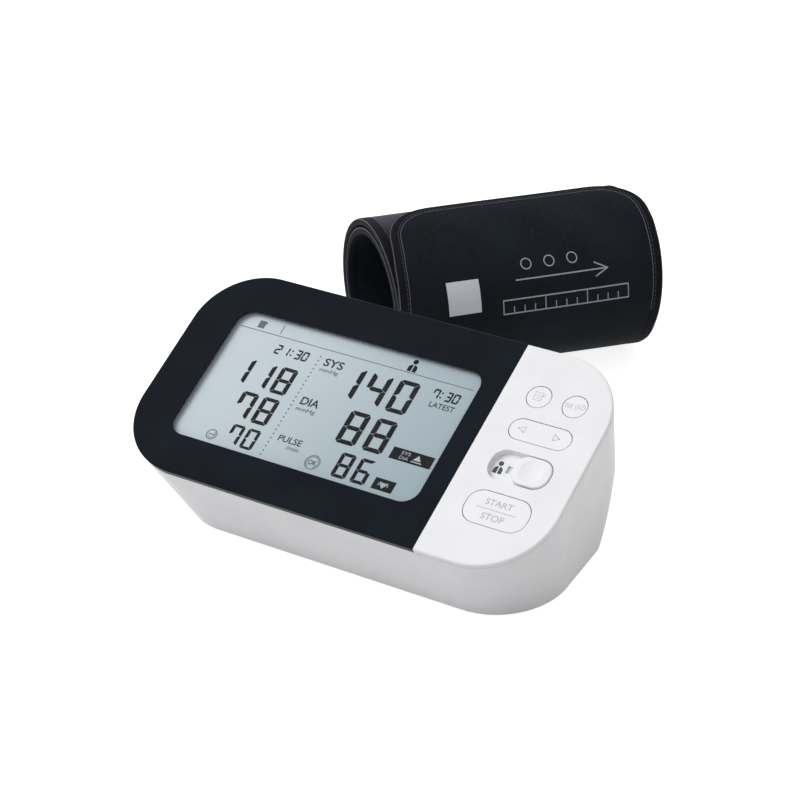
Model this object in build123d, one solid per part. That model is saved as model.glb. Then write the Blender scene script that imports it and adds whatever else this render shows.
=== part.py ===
from build123d import *
import os
from math import atan, cos, radians, sin, sqrt, tan

# Upper arm blood pressure monitor: a wedge shaped table unit with a sloping face,
# and its pre-formed arm cuff, rolled up and standing on the table behind it.
# Millimetres, +Z up. The model is laid out with X = 0 at the unit's left side,
# Y = 0 at the front edge of its face and Z = 0 on the table. The last step moves the
# origin to the bottom centre of the whole object.

# Table unit, outside form
UNIT_WIDTH = 191.0
UNIT_DEPTH = 120.0
FACE_LENGTH = 98.4
FACE_TILT = 30.2
FRONT_HEIGHT = 35.5
FRONT_CORNER = 30.0
REAR_CORNER = 28.0
REAR_CORNER_GROWTH = 0.375
REAR_CORNER_START = 46.0
SIDE_TAPER = 0.207
FRONT_TAPER = 0.03
REAR_CREASE_DEPTH = 69.5
REAR_BEND = 40.0
BEND_STEPS = 6
WALL = 2.2
FLOOR = 2.2
FOOT_HEIGHT = 1.0
FACE_THICKNESS = 2.3
FACE_EDGE_ROUND = 0.9
SEAM = 0.2
FIT = 0.2

# How far a cutting block runs past the surface that it opens and past the whole unit,
# and the difference below which two sizes count as the same
CUT = 1.0
BEYOND = 9.0
SAME = 0.01

# Display: dark bezel, clear window, liquid crystal panel and its holder
KEY_STRIP = 47.3
BEZEL_EDGE_ROUND = 0.45
VIEW_LEFT = 19.5
VIEW_RIGHT_MARGIN = 9.3
VIEW_FRONT = 17.2
VIEW_REAR_MARGIN = 18.0
VIEW_CORNER = 7.0
WINDOW_LAP = 2.4
WINDOW_TOP = 0.8
WINDOW_THICKNESS = 1.2
LCD_MARGIN = 4.0
LCD_DEPTH = 2.6
LCD_THICKNESS = 2.2
HOLDER_WALL = 1.5

# Upper case below the face plate
TRAY_THICKNESS = 1.6
SKIRT_HEIGHT = 4.5
SKIRT_THICKNESS = 1.2

# Keys on the white strip, each by its distance from the unit's right side
KEY_GAP = 0.3
KEY_FLANGE = 1.2
KEY_FLANGE_THICKNESS = 1.0
KEY_TRAVEL = 0.8
KEY_CROWN = 0.25
ROUND_KEY_DIAMETER = 9.8
MEMORY_FROM_RIGHT = 32.0
CONNECT_FROM_RIGHT = 16.5
SCROLL_FROM_RIGHT = 23.8
SCROLL_LENGTH = 26.0
SCROLL_WIDTH = 9.4
SCROLL_TAB = 5.0
START_FROM_RIGHT = 24.2
START_LENGTH = 26.6
START_WIDTH = 14.4
START_CORNER = 6.2

# Slide that picks the user
DISH_FROM_RIGHT = 24.0
DISH_LENGTH = 26.0
DISH_WIDTH = 13.9
DISH_CORNER = 6.0
DISH_DEPTH = 2.9
DISH_WALL = 1.1
KNOB_LENGTH = 15.6
KNOB_WIDTH = 12.6
KNOB_CORNER = 5.4
KNOB_RISE = 0.7
KNOB_GAP = 0.3
KNOB_DISH_RADIUS = 16.0
KNOB_DISH_SINK = 0.8
STEM_SIZE = 3.0
STEM_REACH = 3.0

# Shares of the strip's free length: before START, dish, scroll key and round keys, and behind them
COLUMN_SHARES = (18.0, 5.25, 5.05, 5.9, 16.7)

# Main board and what it carries
BOARD_DEPTH = 9.2
BOARD_THICKNESS = 1.6
BOARD_GAP = 1.2
MAT_THICKNESS = 0.9
MAT_MARGIN = 3.0
PLUNGER_DIAMETER = 5.0
PLUNGER_GAP = 0.1
SWITCH_SIZE = (13.0, 6.0)
CHIP_SIZES = ((58.0, 46.0, 14.0, 14.0, 1.6), (84.0, 40.0, 9.0, 7.0, 1.4), (104.0, 52.0, 6.0, 5.0, 1.4))
RADIO_SIZE = (17.0, 12.0, 2.2)
RADIO_FROM_RIGHT = 41.0
RADIO_UP = 50.0
SENSOR_SIZE = (12.0, 12.0, 6.0)
SENSOR_PLACE = (40.0, 70.0)
NIPPLE_DIAMETER = 3.4
NIPPLE_LENGTH = 6.0
STRIP_WIDTH = 2.4

# Fasteners
POST_DIAMETER = 7.0
TOWER_DIAMETER = 9.0
SCREW_DIAMETER = 2.8
SCREW_HEAD_DIAMETER = 5.4
SCREW_HEAD_HEIGHT = 2.0
SCREW_SLOT = 0.8
CASE_SCREW_LENGTH = 9.0
BOARD_SCREW_LENGTH = 6.0
POST_END = 15.0
POST_PLACES = ((46.0, 8.4), (UNIT_WIDTH - 42.0, 8.4), (UNIT_WIDTH - 42.0, 66.0))
BOSS_DIAMETER = 5.0
BOARD_SCREW_PLACES = ((9.4, 34.0), (9.4, 66.0), (UNIT_WIDTH - 42.5, 32.0), (UNIT_WIDTH - 8.0, 40.0))

# Battery bay in the underside, its cover, four AA cells and their contacts
CELL_DIAMETER = 14.3
CELL_LENGTH = 50.3
CELL_NUB_DIAMETER = 5.4
CELL_NUB_LENGTH = 1.2
CELL_COUNT = 4
CELL_PITCH = 15.0
SPRING_ROOM = 4.4
CONTACT_THICKNESS = 0.4
BAY_WALL = 1.6
BAY_CENTRE_Y = 55.5
BAY_HEADROOM = 1.0
BAY_SIDE_GAP = 0.4
COVER_THICKNESS = 1.8
COVER_LEDGE = 2.0
COVER_GAP = 0.3
COVER_RIM = 3.0
LATCH_WIDTH = 12.0
LATCH_HEIGHT = 3.2
LATCH_THICKNESS = 1.2
GRIP_COUNT = 5
GRIP_PITCH = 2.0
GRIP_LENGTH = 16.0

# Feet
FOOT_DIAMETER = 12.0
FOOT_SINK = 0.6
FRONT_FOOT = (34.0, 46.0)
REAR_FOOT_IN = 52.0
REAR_FOOT_FROM_REAR = 17.0

# Air jack in the left wall, for the plug of the cuff's hose
JACK_Y = 56.0
JACK_Z = 24.0
JACK_BORE = 2.9
JACK_BORE_LENGTH = 9.0
JACK_DIAMETER = 10.0
JACK_LENGTH = 12.0
JACK_BOSS_WALL = 1.8
JACK_SETBACK = 2.6
JACK_FLANGE = 1.4
SPIGOT_DIAMETER = 4.4
SPIGOT_LENGTH = 6.0
SPIGOT_BORE = 1.0

# Power jack in the rear wall
POWER_FROM_MIDDLE = 2.0
POWER_Z = 13.0
POWER_DIAMETER = 8.4
POWER_BORE = 3.1
POWER_BORE_LENGTH = 9.0
POWER_PIN = 0.8
POWER_PIN_SINK = 1.5
POWER_BODY = (11.0, 10.0, 10.0)
POWER_RECESS = 0.4

# Pump on ribs over the battery bay, valve and the tubes between them
PUMP_X = 112.0
PUMP_Y = 76.0
PUMP_LIFT = 1.5
MOTOR_DIAMETER = 24.0
MOTOR_LENGTH = 30.0
PUMP_HEAD_SIZE = 22.0
PUMP_HEAD_LENGTH = 24.0
CUSHION_THICKNESS = 1.8
CUSHION_LENGTH = 9.0
CRADLE_THICKNESS = 2.0
CRADLE_COUNT = 2
MOTOR_SHAFT_DIAMETER = 8.0
MOTOR_SHAFT_LENGTH = 1.5
VALVE_DIAMETER = 13.0
VALVE_LENGTH = 18.0
MANIFOLD_SIZE = (12.0, 12.0, 8.0)
TUBE_DIAMETER = 5.0
TUBE_ARC_SHARE = 0.45

# Rolled cuff: a strip of cloth wound about two and a quarter times, seen end on as a
# chain of side arcs and flatter top and bottom arcs that grow with every turn
CUFF_WIDTH = 130.0
CUFF_TURN = 51.0
CUFF_PLACE = (10.2, 180.0)
CLOTH_THICKNESS = 0.7
BLADDER_THICKNESS = 1.1
CURLER_THICKNESS = 0.8
SIDE_RADIUS = 23.1
SIDE_GROWTH = 3.46
SIDE_SWEEP = 96.0
TOP_RADIUS = 36.4
TOP_GROWTH = 5.16
FLAP_SWEEP = 50.0
FLAP_VIEW = 62.0
FLAP_CORNER = 18.0
ROLL_ARCS = 10
FLAP_ARC = 8
BINDING_WIDTH = 4.0
BLADDER_ARCS = 9
CURLER_ARCS = 7
HOOK_THICKNESS = 0.4
HOOK_MARGIN = 6.0
GLAND_DIAMETER = 6.0
GLAND_FLANGE = 1.5
GLAND_LENGTH = 12.0
GLAND_BORE = 2.0
GLAND_BORE_LENGTH = 8.0
GLAND_ARC = 2

# Planes and outlines that the whole unit shares
TILT = radians(FACE_TILT)
FACE = Plane(origin=(0, 0, FRONT_HEIGHT), x_dir=(1, 0, 0), z_dir=(0, -sin(TILT), cos(TILT)))
BODY_DEPTH = UNIT_DEPTH * sin(TILT) + FRONT_HEIGHT * cos(TILT) + CUT
REAR_LEAN = ((UNIT_DEPTH - FACE_LENGTH * cos(TILT)) / REAR_CREASE_DEPTH - sin(TILT)) / cos(TILT)
LEAN_ANGLE = atan(REAR_LEAN)
BEND_REACH = REAR_BEND * tan((TILT + LEAN_ANGLE) / 2)
BEND_START = REAR_CREASE_DEPTH - BEND_REACH * cos(LEAN_ANGLE)
BEND_END = REAR_CREASE_DEPTH + BEND_REACH * cos(TILT)
BEZEL_WIDTH = UNIT_WIDTH - KEY_STRIP
VIEW_RIGHT = BEZEL_WIDTH - VIEW_RIGHT_MARGIN
VIEW_REAR = FACE_LENGTH - VIEW_REAR_MARGIN
ROOM_LEFT = VIEW_LEFT - LCD_MARGIN
ROOM_RIGHT = VIEW_RIGHT + LCD_MARGIN
ROOM_FRONT = VIEW_FRONT - LCD_MARGIN
ROOM_REAR = VIEW_REAR + LCD_MARGIN
TRAY_TOP = FACE_THICKNESS
TRAY_BOTTOM = TRAY_TOP + TRAY_THICKNESS

# Places of the keys and the dish along the strip, from the front
COLUMN_SIZES = (START_WIDTH, DISH_WIDTH, SCROLL_WIDTH, ROUND_KEY_DIAMETER)
COLUMN_UNIT = (FACE_LENGTH - sum(COLUMN_SIZES)) / sum(COLUMN_SHARES)
COLUMN = [sum(COLUMN_SHARES[:index + 1]) * COLUMN_UNIT + sum(COLUMN_SIZES[:index]) + size / 2
          for index, size in enumerate(COLUMN_SIZES)]
START_KEY = (UNIT_WIDTH - START_FROM_RIGHT, COLUMN[0])
DISH_CENTRE = (UNIT_WIDTH - DISH_FROM_RIGHT, COLUMN[1])
SCROLL_KEY = (UNIT_WIDTH - SCROLL_FROM_RIGHT, COLUMN[2])
MEMORY_KEY = (UNIT_WIDTH - MEMORY_FROM_RIGHT, COLUMN[3])
CONNECT_KEY = (UNIT_WIDTH - CONNECT_FROM_RIGHT, COLUMN[3])
RADIO_PLACE = (UNIT_WIDTH - RADIO_FROM_RIGHT, RADIO_UP)


def rounded_wire(x0, x1, y0, y1, front_radius, rear_radius):
    """Closed rounded outline with its own radius for the front and for the rear corners."""
    pull_f = front_radius * (1 - sqrt(0.5))
    pull_r = rear_radius * (1 - sqrt(0.5))
    edges = [
        Line((x0 + front_radius, y0), (x1 - front_radius, y0)),
        ThreePointArc((x1 - front_radius, y0), (x1 - pull_f, y0 + pull_f), (x1, y0 + front_radius)),
        Line((x1, y0 + front_radius), (x1, y1 - rear_radius)),
        ThreePointArc((x1, y1 - rear_radius), (x1 - pull_r, y1 - pull_r), (x1 - rear_radius, y1)),
        Line((x1 - rear_radius, y1), (x0 + rear_radius, y1)),
        ThreePointArc((x0 + rear_radius, y1), (x0 + pull_r, y1 - pull_r), (x0, y1 - rear_radius)),
        Line((x0, y1 - rear_radius), (x0, y0 + front_radius)),
        ThreePointArc((x0, y0 + front_radius), (x0 + pull_f, y0 + pull_f), (x0 + front_radius, y0)),
    ]
    return Wire(edges)


def rear_edge(depth):
    """How far up the slope the rear wall lies at a depth below the face."""
    if depth <= BEND_START:
        return FACE_LENGTH + REAR_LEAN * depth
    if depth <= BEND_END:
        middle = FACE_LENGTH + REAR_LEAN * BEND_START - REAR_BEND * cos(LEAN_ANGLE)
        return middle + sqrt(REAR_BEND ** 2 - (depth - BEND_START - REAR_BEND * sin(LEAN_ANGLE)) ** 2)
    return (UNIT_DEPTH - depth * sin(TILT)) / cos(TILT)


def body_outline(depth, inset=0.0):
    """Outline of the housing in the plane at a depth below the face, drawn in by an inset."""
    side = SIDE_TAPER * depth + inset
    front = FRONT_TAPER * depth + inset
    rear_radius = REAR_CORNER + REAR_CORNER_GROWTH * max(0.0, depth - REAR_CORNER_START)
    wire = rounded_wire(side, UNIT_WIDTH - side, front, rear_edge(depth) - inset,
                        FRONT_CORNER - inset, rear_radius - inset)
    return FACE.offset(-depth) * wire


def body_form(inset=0.0):
    """Solid form of the housing, lofted down from the face, drawn in by an inset."""
    bend = [BEND_START + (BEND_END - BEND_START) * step / BEND_STEPS for step in range(BEND_STEPS + 1)]
    depths = sorted([0, REAR_CORNER_START, *bend, BODY_DEPTH])
    return Solid.make_loft([body_outline(depth, inset) for depth in depths], ruled=True)


def slab(top, bottom, inset=0.0, left=0.0, right=UNIT_WIDTH):
    """Layer of the housing between two depths below the face, between two sides."""
    layer = Solid.make_loft([body_outline(top, inset), body_outline(bottom, inset)], ruled=True)
    return layer & face_box(left, right, -FACE_LENGTH, 2 * FACE_LENGTH, top, bottom)


def face_box(left, right, front, rear, top, bottom):
    """Box given on the face: sides, edges up the slope and depths below the face."""
    centre = ((left + right) / 2, (front + rear) / 2)
    return extrude(FACE.offset(-bottom) * Pos(*centre) * Rectangle(right - left, rear - front), bottom - top)


def rounded_outline(length, width, radius):
    """Rectangle with rounded corners, which is a slot or a circle where they meet."""
    if width - 2 * radius > SAME:
        return RectangleRounded(length, width, radius)
    return SlotOverall(length, width) if length - width > SAME else Circle(width / 2)


def face_pill(centre, length, width, radius, top, bottom):
    """Rounded block given on the face by its centre and its depths."""
    outline = rounded_outline(length, width, radius)
    return extrude(FACE.offset(-bottom) * Pos(*centre) * outline, bottom - top)


def face_pin(centre, diameter, top, bottom):
    """Cylinder square to the face, between two depths."""
    return extrude(FACE.offset(-bottom) * Pos(*centre) * Circle(diameter / 2), bottom - top)


def rod(start, end, diameter):
    """Straight cylinder between two points."""
    axis = Vector(*end) - Vector(*start)
    return Solid.make_cylinder(diameter / 2, axis.length, Plane(origin=start, z_dir=axis))


def upright_box(x0, x1, y0, y1, z0, z1):
    """Box between two corners, square to the table."""
    return Pos((x0 + x1) / 2, (y0 + y1) / 2, (z0 + z1) / 2) * Box(x1 - x0, y1 - y0, z1 - z0)


def space_above(z):
    """Block over the whole unit's plan, from a height upward."""
    return upright_box(-BEYOND, UNIT_WIDTH + BEYOND, -BEYOND, UNIT_DEPTH + BEYOND, z, 2 * UNIT_DEPTH)


def depth_at(y, z):
    """Depth below the face of a point at y and z."""
    return y * sin(TILT) - (z - FRONT_HEIGHT) * cos(TILT)


def floor_depth(v):
    """Depth below the face at which a line square to the face meets the underside."""
    return (FRONT_HEIGHT - FOOT_HEIGHT + v * sin(TILT)) / cos(TILT)


# Battery bay sizes, from the cells
BAY_X = UNIT_WIDTH / 2
BAY_HALF_X = CELL_PITCH * CELL_COUNT / 2 + BAY_SIDE_GAP
BAY_HALF_Y = (CELL_LENGTH + SPRING_ROOM) / 2
COVER_TOP = FOOT_HEIGHT + COVER_THICKNESS
BAY_TOP = COVER_TOP + CELL_DIAMETER + BAY_HEADROOM
CELL_Z = COVER_TOP + BAY_HEADROOM / 2 + CELL_DIAMETER / 2
COVER_HALF_X = BAY_HALF_X + COVER_LEDGE
COVER_HALF_Y = BAY_HALF_Y + COVER_LEDGE
HINGE_Y = BAY_CENTRE_Y - COVER_HALF_Y + COVER_THICKNESS / 2
HINGE_Z = FOOT_HEIGHT + COVER_THICKNESS / 2
JACK_X = SIDE_TAPER * depth_at(JACK_Y, JACK_Z) + JACK_SETBACK
CRADLE_SPAN = MOTOR_LENGTH - CUSHION_LENGTH
PUMP_Z = BAY_TOP + BAY_WALL + PUMP_LIFT + CUSHION_THICKNESS + MOTOR_DIAMETER / 2
POWER_X = BAY_X + POWER_FROM_MIDDLE
REAR_FEET_Y = UNIT_DEPTH - REAR_FOOT_FROM_REAR
FOOT_PLACES = (FRONT_FOOT, (UNIT_WIDTH - FRONT_FOOT[0], FRONT_FOOT[1]),
               (REAR_FOOT_IN, REAR_FEET_Y), (UNIT_WIDTH - REAR_FOOT_IN, REAR_FEET_Y))


def bay_box(grow, z0, z1):
    """Box over the battery bay's plan, grown sideways by an amount."""
    return upright_box(BAY_X - BAY_HALF_X - grow, BAY_X + BAY_HALF_X + grow,
                       BAY_CENTRE_Y - BAY_HALF_Y - grow, BAY_CENTRE_Y + BAY_HALF_Y + grow, z0, z1)


def cradle_places():
    """Places along the motor where a cushion and its cradle stand."""
    step = CRADLE_SPAN / (CRADLE_COUNT - 1)
    return [PUMP_X - CUSHION_LENGTH / 2 - step * index for index in range(CRADLE_COUNT)]


def make_lower_case():
    """Deep lower shell: walls, floor, battery bay, screw towers, jack boss and pump cradles."""
    above_floor = space_above(FOOT_HEIGHT)
    below_seam = face_box(-BEYOND, UNIT_WIDTH + BEYOND, -UNIT_DEPTH, 2 * UNIT_DEPTH, FACE_THICKNESS + SEAM,
                          2 * UNIT_DEPTH)
    room = body_form(WALL) & space_above(FOOT_HEIGHT + FLOOR)
    shell = (body_form() & above_floor & below_seam) - room
    keep = body_form(WALL / 2) & above_floor
    ledge = bay_box(COVER_LEDGE + COVER_RIM, FOOT_HEIGHT, COVER_TOP + BAY_WALL)
    shell += (ledge + bay_box(BAY_WALL, FOOT_HEIGHT, BAY_TOP + BAY_WALL)) & keep
    shell += latch_pocket(BAY_WALL)
    for place in POST_PLACES:
        low = floor_depth(place[1]) + TOWER_DIAMETER
        shell += face_pin(place, TOWER_DIAMETER, POST_END + FIT, low) & keep
    shell += jack_rod(JACK_X, JACK_X + JACK_LENGTH, JACK_DIAMETER + 2 * JACK_BOSS_WALL)
    half, wide = CRADLE_THICKNESS / 2, MOTOR_DIAMETER / 2 + CUSHION_THICKNESS + CRADLE_THICKNESS
    for x in cradle_places():
        cradle = upright_box(x - half, x + half, PUMP_Y - wide, PUMP_Y + wide, FOOT_HEIGHT, PUMP_Z)
        shell += cradle & keep
    return cut_lower_case(shell)


def cut_lower_case(shell):
    """Openings of the lower shell: bay, cover seat, towers, feet, jacks and cradle hollows."""
    shell -= bay_box(0, FOOT_HEIGHT - CUT, BAY_TOP)
    shell -= bay_box(COVER_LEDGE + COVER_GAP, FOOT_HEIGHT - CUT, COVER_TOP + FIT)
    shell -= latch_pocket()
    for place in POST_PLACES:
        low = floor_depth(place[1]) + TOWER_DIAMETER
        shell -= face_pin(place, SCREW_DIAMETER + 2 * FIT, POST_END - FIT, low)
        shell -= face_pin(place, SCREW_HEAD_DIAMETER + 2 * FIT, POST_END + CRADLE_THICKNESS, low)
    for x, y in FOOT_PLACES:
        shell -= rod((x, y, FOOT_HEIGHT - CUT), (x, y, FOOT_HEIGHT + FOOT_SINK), FOOT_DIAMETER + FIT)
    shell -= jack_rod(-BEYOND, JACK_X, JACK_DIAMETER + 2 * JACK_FLANGE)
    shell -= jack_rod(-BEYOND, JACK_X + JACK_LENGTH + CUT, JACK_DIAMETER + FIT)
    shell -= rod((POWER_X, UNIT_DEPTH - 2 * WALL, POWER_Z), (POWER_X, UNIT_DEPTH + BEYOND, POWER_Z),
                 POWER_DIAMETER + FIT)
    return shell - rod((PUMP_X - 2 * MOTOR_LENGTH, PUMP_Y, PUMP_Z), (PUMP_X + CUSHION_LENGTH, PUMP_Y, PUMP_Z),
                       MOTOR_DIAMETER + 2 * CUSHION_THICKNESS)


def latch_pocket(wall=0.0):
    """Pocket behind the bay that the cover's latch snaps into, or the housing of a given wall round it."""
    rear = BAY_CENTRE_Y + BAY_HALF_Y
    half = LATCH_WIDTH / 2 + COVER_GAP + wall
    far = rear + LATCH_THICKNESS + 2 * COVER_GAP + wall
    top = COVER_TOP + LATCH_HEIGHT + COVER_GAP + wall
    return upright_box(BAY_X - half, BAY_X + half, rear - COVER_GAP, far, FOOT_HEIGHT, top)


def jack_rod(start, stop, diameter):
    """Cylinder on the air jack's axis, between two distances from the left side."""
    return rod((start, JACK_Y, JACK_Z), (stop, JACK_Y, JACK_Z), diameter)


def key_outlines():
    """Centre, length, width and corner radius of each key on the face."""
    return {
        "memory": (MEMORY_KEY, ROUND_KEY_DIAMETER, ROUND_KEY_DIAMETER, ROUND_KEY_DIAMETER / 2),
        "connect": (CONNECT_KEY, ROUND_KEY_DIAMETER, ROUND_KEY_DIAMETER, ROUND_KEY_DIAMETER / 2),
        "scroll": (SCROLL_KEY, SCROLL_LENGTH, SCROLL_WIDTH, SCROLL_WIDTH / 2),
        "start": (START_KEY, START_LENGTH, START_WIDTH, START_CORNER),
    }


def make_upper_case():
    """Upper shell: white face plate on the right, tray below the bezel, skirt, dish, posts."""
    plate = slab(0, FACE_THICKNESS, 0, BEZEL_WIDTH + SEAM / 2, UNIT_WIDTH)
    outer_edges = [edge for edge in plate.faces().sort_by(Axis(FACE.origin, FACE.z_dir))[-1].edges()
                   if edge.center().X > BEZEL_WIDTH + 1]
    plate = fillet(outer_edges, FACE_EDGE_ROUND)
    tray = slab(TRAY_TOP, TRAY_BOTTOM, WALL + FIT, 0, BEZEL_WIDTH + SEAM / 2 + KEY_FLANGE)
    tray -= face_box(ROOM_LEFT - FIT, ROOM_RIGHT + FIT, ROOM_FRONT - FIT, ROOM_REAR + FIT, 0,
                     TRAY_BOTTOM + CUT)
    skirt_end = TRAY_TOP + SKIRT_HEIGHT
    skirt = slab(TRAY_TOP, skirt_end, WALL + FIT)
    skirt -= slab(TRAY_TOP - CUT, skirt_end + CUT, WALL + FIT + SKIRT_THICKNESS)
    case = plate + tray + skirt
    for centre, length, width, radius in key_outlines().values():
        case -= face_pill(centre, length + 2 * KEY_GAP, width + 2 * KEY_GAP, radius + KEY_GAP, -CUT,
                          TRAY_BOTTOM)
    case += face_pill(DISH_CENTRE, DISH_LENGTH + 2 * DISH_WALL, DISH_WIDTH + 2 * DISH_WALL,
                      DISH_CORNER + DISH_WALL, FACE_THICKNESS / 2, DISH_DEPTH + DISH_WALL)
    case -= face_pill(DISH_CENTRE, DISH_LENGTH, DISH_WIDTH, DISH_CORNER, -CUT, DISH_DEPTH)
    case -= stem_slot()
    for place in POST_PLACES:
        case += face_pin(place, POST_DIAMETER, TRAY_TOP, POST_END)
        case -= face_pin(place, SCREW_DIAMETER - FIT, POST_END - CASE_SCREW_LENGTH, POST_END + CUT)
    for place in BOARD_SCREW_PLACES:
        case += face_pin(place, BOSS_DIAMETER, TRAY_TOP, BOARD_DEPTH)
        hole_end = BOARD_DEPTH + BOARD_THICKNESS - BOARD_SCREW_LENGTH
        case -= face_pin(place, SCREW_DIAMETER - FIT, hole_end, BOARD_DEPTH + CUT)
    return case


def stem_slot():
    """Slot in the dish's floor in which the slide's stem runs."""
    wide = STEM_SIZE / 2 + FIT
    long = (DISH_LENGTH - KNOB_LENGTH - 2 * KNOB_GAP) / 2 + wide
    x, v = DISH_CENTRE
    return face_box(x - long, x + long, v - wide, v + wide, 0, DISH_DEPTH + 2 * DISH_WALL)


def make_bezel():
    """Gloss dark plate over the display, with the viewing opening and a seat for the window."""
    plate = slab(0, FACE_THICKNESS, 0, 0, BEZEL_WIDTH - SEAM / 2)
    outer_edges = [edge for edge in plate.faces().sort_by(Axis(FACE.origin, FACE.z_dir))[-1].edges()
                   if edge.center().X < BEZEL_WIDTH - 1]
    plate = fillet(outer_edges, BEZEL_EDGE_ROUND)
    centre = ((VIEW_LEFT + VIEW_RIGHT) / 2, (VIEW_FRONT + VIEW_REAR) / 2)
    long, wide = VIEW_RIGHT - VIEW_LEFT, VIEW_REAR - VIEW_FRONT
    plate -= face_pill(centre, long, wide, VIEW_CORNER, -CUT, FACE_THICKNESS + CUT)
    lap = 2 * (WINDOW_LAP + FIT)
    return plate - face_pill(centre, long + lap, wide + lap, VIEW_CORNER, WINDOW_TOP, FACE_THICKNESS + CUT)


def make_window():
    """Clear pane in the bezel's seat."""
    centre = ((VIEW_LEFT + VIEW_RIGHT) / 2, (VIEW_FRONT + VIEW_REAR) / 2)
    return face_pill(centre, VIEW_RIGHT - VIEW_LEFT + 2 * WINDOW_LAP, VIEW_REAR - VIEW_FRONT + 2 * WINDOW_LAP,
                     VIEW_CORNER, WINDOW_TOP, WINDOW_TOP + WINDOW_THICKNESS)


def make_lcd():
    """Liquid crystal panel below the window."""
    return face_box(ROOM_LEFT, ROOM_RIGHT, ROOM_FRONT, ROOM_REAR, LCD_DEPTH, LCD_DEPTH + LCD_THICKNESS)


def make_lcd_holder():
    """Frame between the panel and the main board, with a rib grid below the panel."""
    top = LCD_DEPTH + LCD_THICKNESS
    frame = face_box(ROOM_LEFT, ROOM_RIGHT, ROOM_FRONT, ROOM_REAR, top, BOARD_DEPTH)
    front = ROOM_FRONT + 2 * HOLDER_WALL + STRIP_WIDTH
    frame -= face_box(ROOM_LEFT + HOLDER_WALL, ROOM_RIGHT - HOLDER_WALL, front, ROOM_REAR - HOLDER_WALL,
                      top + HOLDER_WALL / 2, BOARD_DEPTH + CUT)
    frame -= strip_slot(FIT)
    return frame


def strip_slot(grow):
    """Block of the connector strip along the panel's front edge, grown by a clearance."""
    front = ROOM_FRONT + HOLDER_WALL
    return face_box(ROOM_LEFT + 2 * HOLDER_WALL - grow, ROOM_RIGHT - 2 * HOLDER_WALL + grow, front - grow,
                    front + STRIP_WIDTH + grow, LCD_DEPTH + LCD_THICKNESS, BOARD_DEPTH)


def make_key(name):
    """Flat key with a retaining flange under the face plate and a lightly crowned top."""
    centre, length, width, radius = key_outlines()[name]
    body = face_pill(centre, length, width, radius, 0, FACE_THICKNESS + FIT + KEY_FLANGE_THICKNESS)
    top = body.faces().sort_by(Axis(FACE.origin, FACE.z_dir))[-1]
    body = fillet(top.edges(), KEY_CROWN)
    flange_top = FACE_THICKNESS + FIT
    if name == "scroll":
        return body + face_pill(centre, SCROLL_TAB, width + 2 * KEY_FLANGE, KEY_FLANGE, flange_top,
                                flange_top + KEY_FLANGE_THICKNESS)
    return body + face_pill(centre, length + 2 * KEY_FLANGE, width + 2 * KEY_FLANGE, radius + KEY_FLANGE,
                            flange_top, flange_top + KEY_FLANGE_THICKNESS)


def make_slide_knob():
    """Knob of the user slide: rounded, with a finger dish on top and a stem to the switch."""
    right_end = DISH_CENTRE[0] + DISH_LENGTH / 2 - KNOB_GAP
    centre = (right_end - KNOB_LENGTH / 2, DISH_CENTRE[1])
    knob = face_pill(centre, KNOB_LENGTH, KNOB_WIDTH, KNOB_CORNER, -KNOB_RISE, DISH_DEPTH - FIT)
    top = knob.faces().sort_by(Axis(FACE.origin, FACE.z_dir))[-1]
    knob = fillet(top.edges(), KNOB_RISE)
    lift = KNOB_RISE + KNOB_DISH_RADIUS - KNOB_DISH_SINK
    knob -= FACE.offset(lift) * Pos(*centre) * Sphere(KNOB_DISH_RADIUS)
    half = STEM_SIZE / 2
    return knob + face_box(centre[0] - half, centre[0] + half, centre[1] - half, centre[1] + half,
                           DISH_DEPTH / 2, DISH_DEPTH + STEM_REACH)


def make_board():
    """Main board, parallel to the face, with holes for the case posts and its screws."""
    board = slab(BOARD_DEPTH, BOARD_DEPTH + BOARD_THICKNESS, WALL + BOARD_GAP)
    for place in POST_PLACES:
        board -= face_pin(place, POST_DIAMETER + 2 * BOARD_GAP, 0, 2 * BOARD_DEPTH)
    for place in BOARD_SCREW_PLACES:
        board -= face_pin(place, SCREW_DIAMETER + FIT, 0, 2 * BOARD_DEPTH)
    return board


def below_board(place, size):
    """Block on the underside of the main board."""
    x, v = place
    top = BOARD_DEPTH + BOARD_THICKNESS
    return face_box(x - size[0] / 2, x + size[0] / 2, v - size[1] / 2, v + size[1] / 2, top, top + size[2])


def make_chips():
    """Processor, memory and drive chips on the underside of the board."""
    return [below_board((x, v), (long, wide, tall)) for x, v, long, wide, tall in CHIP_SIZES]


def sensor_end():
    """Depth below the face at which the sensor's nipple ends."""
    return BOARD_DEPTH + BOARD_THICKNESS + SENSOR_SIZE[2] + NIPPLE_LENGTH


def make_sensor():
    """Pressure sensor with its tube nipple."""
    body = below_board(SENSOR_PLACE, SENSOR_SIZE)
    middle = BOARD_DEPTH + BOARD_THICKNESS + SENSOR_SIZE[2] / 2
    return body + face_pin(SENSOR_PLACE, NIPPLE_DIAMETER, middle, sensor_end())


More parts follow.
